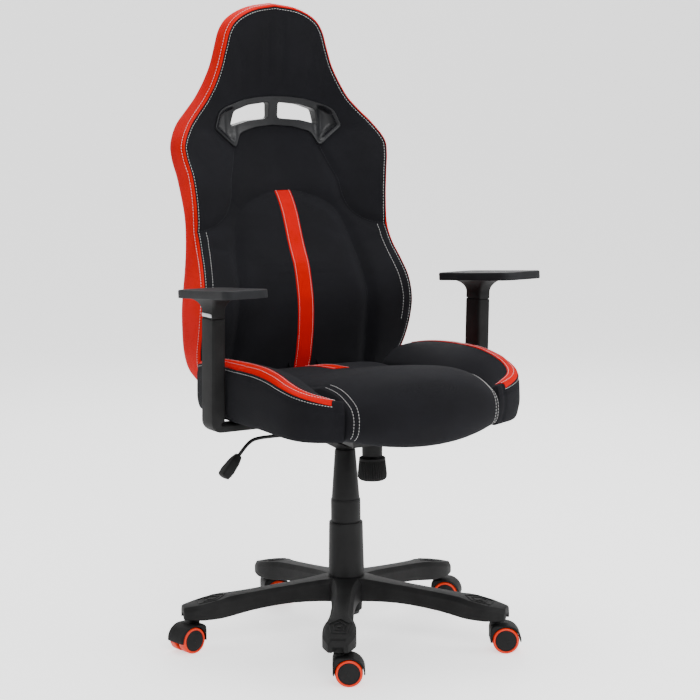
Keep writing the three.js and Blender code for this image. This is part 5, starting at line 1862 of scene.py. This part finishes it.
# Along an arm, in millimetres: (out, half width below, half width of the flat on top, height of the flat,
# underside),
# heights over the tip's underside.
ARM = (
    (20, 30, 24, 61, 17), (38, 30, 22, 60.6, 17), (50, 27.5, 18.5, 59.2, 17.6), (64, 25, 16, 57.6, 18),
    (84, 22.6, 14, 55.4, 18.2),
    (110, 21, 13, 52.6, 18), (136, 20.4, 12.5, 50, 16.4), (165, 20.4, 12.5, 47, 13.6), (195, 21, 13, 44, 9.6),
    (216, 22.6, 14, 42, 6),
    (232, 25, 15.6, 40.4, 3.4), (242, 27.6, 19, 39.4, 2.2), (254, 30, 23.6, 37, 1.2), 
    (272, 31, 24.4, 33.4, 0.4), (288, 30.4, 23.4, 30.2, 0),
    (300, 27, 20, 27.9, 0), (312, 22.4, 16.2, 25.6, 0), (319, 19.4, 13.6, 24.2, 0.2),
    (321.5, 18, 12.4, 22.6, 1),
)  # fmt: skip


def arm_outline(half, flat, top, bottom):
    """A section of an arm: flat top, sloping shoulders, upright sides and rounded lower edges."""
    shoulder = top - 8.5 * MM
    return [
        (half - 1.6 * MM, bottom), (half, bottom + 1.6 * MM), (half, shoulder),
        (half - 0.8 * MM, shoulder + 1.4 * MM),
        (flat + 0.9 * MM, top - 0.5 * MM), (flat - 0.9 * MM, top), (-flat + 0.9 * MM, top),
        (-flat - 0.9 * MM, top - 0.5 * MM),
        (-half + 0.8 * MM, shoulder + 1.4 * MM), (-half, shoulder), (-half, bottom + 1.6 * MM),
        (-half + 1.6 * MM, bottom),
        (-half + 4.4 * MM, bottom), (-half + 5.2 * MM, bottom + 1 * MM),
        (-half + 5.6 * MM, max(bottom + 2 * MM, shoulder - 3 * MM)),
        (half - 5.6 * MM, max(bottom + 2 * MM, shoulder - 3 * MM)), (half - 5.2 * MM, bottom + 1 * MM),
        (half - 4.4 * MM, bottom),
    ]  # fmt: skip


def star_arm():
    """One arm along +X, hollow underneath, closed at its tip."""
    table = np.array(ARM) * MM
    rings = []
    for out, half, flat, top, bottom in table:
        section = arm_outline(half, flat, TIP_LOW + top, TIP_LOW + bottom)
        rings.append([(out, y, z) for y, z in section])
    end = table[-1]
    cap = np.array(rings[-1])
    rings.append(cap * [1, 0.82, 1] + [1.2 * MM, 0, 0])
    walls = loft(rings)
    tip = slab(
        rounded_rectangle(19 * MM, 19 * MM, 18 * MM, 8) + [end[0] - 24 * MM, 0],
        TIP_LOW - 0.2 * MM,
        TIP_LOW + 12 * MM,
        0.8 * MM
    )
    ribs = []
    for out in (85, 110, 135, 160, 185, 210, 235):
        _, half, _, top, bottom = (np.interp(out * MM, table[:, 0], column) for column in table.T)
        ends = (
            (out - 1.2) * MM, 4 * MM - half, TIP_LOW + bottom + 4 * MM
        ), ((out + 1.2) * MM, half - 4 * MM, TIP_LOW + top - 9 * MM)
        ribs.append(rounded_block(*ends, 0.5 * MM))
    spine = [
        (out, y, TIP_LOW + z) for out,
        y,
        z in ((0.06, 0, 0.038), (0.13, 0, 0.036), (0.2, 0, 0.026), (0.27, 0, 0.018))
    ]
    return joined(walls, tip, tube(spine, 2.4 * MM, 6), *ribs)


def pentagon(reach, at, top, proud, width):
    """A raised five-sided line on the flat of an arm's end, its point towards the hub."""
    corners = []
    for x, y in ((-1.0, 0), (-0.30, 0.92), (0.92, 0.66), (0.92, -0.66), (-0.30, -0.92)):
        corners.append((at + reach * x, reach * 0.78 * y))
    corners = np.array(corners)
    centre = corners.mean(0)
    rings = []
    for offset, height in ((0, -1.2 * MM), (0.22 * width, proud), (0.78 * width, proud), (width, -1.2 * MM)):
        ring = centre + (corners - centre) * (1 - offset / reach)
        rings.append(np.column_stack([ring, top(ring[:, 0]) + height]))
    points = np.vstack(rings)
    return points, ring_faces(4, 5)


def make_base():
    table = np.array(ARM) * MM

    def top(out):
        return TIP_LOW + np.interp(out, table[:, 0], table[:, 3])

    arm = star_arm()
    marks = [pentagon(reach * MM, 268 * MM, top, 1.5 * MM, 4.2 * MM) for reach in (29, 17)]
    dot = shifted(
        lathe([(0, 1.2 * MM), (3.2 * MM, 1.1 * MM), (4.0 * MM, 0.3 * MM), (4.0 * MM, -1 * MM)], 12),
        271 * MM,
        0,
        float(top(271 * MM)) + 0.3 * MM
    )
    shells, reliefs = [], []
    for x, y in STEMS:
        turn = Matrix.Rotation(math.atan2(y, x), 4, "Z")
        shells.append(moved(arm, turn))
        reliefs += [moved(mark, turn) for mark in (*marks, dot)]
    rise = STAR_HIGH
    hub = lathe(
        [
            (25.4 * MM, STAR_LOW), (28.5 * MM, STAR_LOW), (29.5 * MM, STAR_LOW + 1 * MM),
            (30.5 * MM, STAR_LOW + 21 * MM),
            (38 * MM, STAR_LOW + 25 * MM), (40 * MM, STAR_LOW + 28 * MM), (40 * MM, rise - 24 * MM),
            (39.4 * MM, rise - 14 * MM),
            (37.6 * MM, rise - 3 * MM), (36.6 * MM, rise - 0.8 * MM), (35.4 * MM, rise), (25.4 * MM, rise),
            (25.4 * MM, STAR_LOW),
        ],
        80,
    )  # fmt: skip
    obj = piece("star_shell", joined(hub, *shells), NYLON, 26)
    wear(obj, "base", "nylon", "star_base")
    relief = piece("star_marks", joined(*reliefs), NYLON, 26)
    wear(relief, "base", "nylon")


# ---------------------------------------------------------------- castors
WHEEL = 25 * MM
TREAD = 19 * MM
HOOD_HALF = 24.5 * MM
HOOD_OUTSIDE = 29.4 * MM
HOOD_INSIDE = 26.7 * MM
STEM_COLLAR = 58.5 * MM


def castor_place(side):
    """The castor's own frame: origin under its stem, +X to its wheels, +Y from outer wheel to inner."""
    outer, inner = middle("wheel_outer_" + side), middle("wheel_inner_" + side)
    across = inner - outer
    across[2] = 0
    across /= np.linalg.norm(across)
    stem = middle("castor_stem_" + side)
    trail = float(((outer + inner) / 2 - stem)[:2] @ np.array([across[1], -across[0]]))
    turn = Matrix(
        ((across[1], across[0], 0, stem[0]), (-across[0], across[1], 0, stem[1]), (0, 0, 1, 0), (0, 0, 0, 1))
    )
    return turn, trail


def hood_shell(trail):
    """Two cheeks and a crown over the wheels, squared off under the stem, on a web between the wheels."""
    outer = [(math.cos(math.radians(a)), math.sin(math.radians(a))) for a in range(-4, 99, 6)]
    rim = [(trail + HOOD_OUTSIDE * c, WHEEL + HOOD_OUTSIDE * s) for c, s in outer]
    rim += [
        (1 * MM, WHEEL + 29.2 * MM), (-6 * MM, WHEEL + 27.6 * MM), (-10 * MM, WHEEL + 24 * MM),
        (-11.4 * MM, WHEEL + 18 * MM)
    ]
    rim += [(-11.4 * MM, WHEEL + z * MM) for z in (10, 2, -1)]
    rim += [(-10.8 * MM, WHEEL - 3.5 * MM)]
    rim = rounded(rim, steps=3)
    count = len(rim)
    angle = np.radians(np.linspace(188, -3, count))
    inside = np.column_stack([trail + HOOD_INSIDE * np.cos(angle), WHEEL + HOOD_INSIDE * np.sin(angle)])
    centre = np.array([trail, WHEEL])
    rings = []
    soft = 4.2 * MM
    stations = [-HOOD_HALF + soft * t for t in (0, 0.06, 0.2, 0.42, 0.7, 1)]
    stations += [-s for s in stations[::-1]]
    for y in stations:
        fall = edge_fall(min(1, (HOOD_HALF - abs(y)) / soft), soft) * 0.62
        reach = rim - centre
        length = np.linalg.norm(reach, axis=1, keepdims=True)
        edge = centre + reach * (1 - fall / length)
        ring = np.vstack([edge, inside])
        rings.append(np.column_stack([ring[:, 0], np.full(len(ring), y), ring[:, 1]]))
    crown = arch(rings)
    web_outline = [
        (trail + 27 * MM * math.cos(a), WHEEL + 27 * MM * math.sin(a))
        for a in np.radians(np.arange(20, 201, 12))
    ]
    web_outline += [
        (trail + 9 * MM * math.cos(a), WHEEL + 9 * MM * math.sin(a))
        for a in np.radians((225, 250, 270, 290, 315))
    ]
    web = slab(web_outline, -4.4 * MM, 4.4 * MM, 0.8 * MM, 2)
    web = moved(web, Matrix.Rotation(math.pi / 2, 4, "X"))
    boss = lathe(
        [
            (3.6 * MM, 50 * MM), (9.8 * MM, 50 * MM), (9.8 * MM, 57.4 * MM), (9.2 * MM, 58.1 * MM),
            (3.6 * MM, 58.1 * MM), (3.6 * MM, 50 * MM)
        ],
        40
    )
    return joined(crown, web, boss)


def wheel_shells():
    """A wheel's tread and cap about its own middle, axis +Y and its cap facing -Y."""
    half = TREAD / 2
    tread = []
    for t in np.linspace(0, 1, 7):
        angle = t * math.pi / 2
        tread.append((WHEEL - 3.4 * MM * (1 - math.sin(angle)), -half + 3.4 * MM * (1 - math.cos(angle))))
    tread += [
        (WHEEL, 0),
        (WHEEL, half - 2 * MM),
        (WHEEL - 0.6 * MM, half - 0.6 * MM),
        (WHEEL - 2 * MM, half),
        (WHEEL - 5 * MM, half)
    ]
    tread += [
        (WHEEL - 5 * MM, -half + 1.5 * MM), (WHEEL - 4.6 * MM, -half + 0.2 * MM), (WHEEL - 3.4 * MM, -half)
    ]
    cap = [
        (0, -half - 0.9 * MM), (3 * MM, -half - 0.9 * MM), (3.4 * MM, -half - 0.5 * MM), 
        (12 * MM, -half - 0.3 * MM), (18.4 * MM, -half + 0.2 * MM),
        (19.7 * MM, -half + 0.9 * MM), (20.1 * MM, -half + 2.4 * MM), 
        (20.1 * MM, half - 0.6 * MM), (19 * MM, half), (5 * MM, half), (0, half),
    ]  # fmt: skip
    turn = Matrix.Rotation(-math.pi / 2, 4, "X")
    return moved(lathe(tread, 72), turn), moved(lathe(cap, 64), turn)


def make_castors():
    tread, cap = wheel_shells()
    for side in CASTOR_SIDES:
        place, trail = castor_place(side)
        hood = piece("castor_cowl_" + side, moved(hood_shell(trail), place), NYLON, 34)
        wear(hood, "castor_" + side, "nylon", "castor_hood_" + side)
        stem_low, stem_high = low("castor_stem_" + side)[2], high("castor_stem_" + side)[2]
        collar = STEM_COLLAR
        profile = [
            (0, stem_low), (3.4 * MM, stem_low), (3.4 * MM, collar), (8 * MM, collar),
            (8.5 * MM, collar + 0.5 * MM),
            (8.5 * MM, TIP_LOW - 0.8 * MM), (8 * MM, TIP_LOW - 0.3 * MM), (5.5 * MM, TIP_LOW - 0.3 * MM),
            (5.5 * MM, stem_high - 1 * MM),
            (4.6 * MM, stem_high), (0, stem_high),
        ]  # fmt: skip
        stem = piece("castor_pin_" + side, moved(lathe(profile, 32), place), BLACK_STEEL, 34)
        wear(stem, "castor_" + side, "black_steel", "castor_stem_" + side)
        dress("castor_axle_" + side, "castor_" + side, "bright_steel", BRIGHT_STEEL, 0.4 * MM)
        for which, flip in (("outer", 0), ("inner", math.pi)):
            node = "wheel_" + which + "_" + side
            centre = middle(node)
            spot = Matrix.Translation(
                (centre[0], centre[1], WHEEL)
            ) @ place.to_3x3().to_4x4() @ Matrix.Rotation(flip, 4, "Z")
            tyre = piece("tyre_" + which + "_" + side, moved(tread, spot), TYRE, 40)
            wear(tyre, node, "orange_plastic")
            disc = piece("wheel_cap_" + which + "_" + side, moved(cap, spot), WHEEL_PLASTIC, 34)
            wear(disc, node, "wheel_plastic", node)


make_arms()
make_lift()
make_base()
make_castors()


carried_back = make_back()
make_back_trim(carried_back)
make_back_stripe(carried_back)
make_vent()
carried_seat = make_seat_cushion()
make_seat_trim(carried_seat)
make_bolsters()


# ---------------------------------------------------------------- floor and light
def make_floor():
    """A pale seamless floor that curves up into a wall well behind the chair."""
    sweep = [(-9.0, 0), (5.0, 0)]
    for i in range(1, 13):
        angle = i / 12 * math.pi / 2
        sweep.append((5.0 + 3 * math.sin(angle), 3 - 3 * math.cos(angle)))
    sweep.append((8.0, 9.0))
    grid = [[(x, y, z) for x in (-12, -4, 4, 12)] for y, z in sweep]
    floor, tree, shader, where = blank_material("floor", Specular_IOR_Level=0.2)
    shader.inputs["Emission Color"].default_value = (1, 1, 1, 1)
    seen = add_node(tree, "ShaderNodeLightPath")
    tree.links.new(
        stretched(tree, seen.outputs["Is Camera Ray"], 0, 1, 0.5, 1.25), shader.inputs["Emission Strength"]
    )
    tone = add_node(tree, "ShaderNodeTexNoise", {"Vector": where, "Scale": 0.6})
    tree.links.new(
        blend_colours(tree, tone.outputs["Fac"], (0.86,) * 3, (0.90,) * 3), shader.inputs["Base Color"]
    )
    tree.links.new(stretched(tree, tone.outputs["Fac"], 0, 1, 0.66, 0.72), shader.inputs["Roughness"])
    obj = piece("floor", sheet_shell(grid), floor, 180)
    if obj.data.polygons[0].normal.z < 0:
        obj.data.flip_normals()


def make_light(name, place, aim, size, watts):
    data = bpy.data.lights.new(name, "AREA")
    data.shape, data.size, data.size_y = "RECTANGLE", size[0], size[1]
    data.energy = watts
    obj = link(bpy.data.objects.new(name, data))
    obj.location = place
    obj.rotation_euler = (Vector(aim) - Vector(place)).to_track_quat("-Z", "Y").to_euler()


def make_world():
    world = bpy.data.worlds.new("studio")
    world.use_nodes = True
    back = world.node_tree.nodes["Background"]
    back.inputs["Color"].default_value = (1, 1, 1, 1)
    back.inputs["Strength"].default_value = 0.45
    bpy.context.scene.world = world


make_floor()
make_world()
make_light("key", (-1.0, -3.4, 2.8), (0, 0, 0.6), (1.8, 1.8), 105)
make_light("fill", (3.0, -2.0, 1.9), (0, 0, 0.6), (2.2, 1.6), 46)
make_light("top", (0.2, 0.3, 3.4), (0, 0, 0.5), (2.4, 2.4), 105)
make_light("rim", (1.6, 2.6, 2.2), (0, 0, 0.8), (1.4, 1.4), 30)
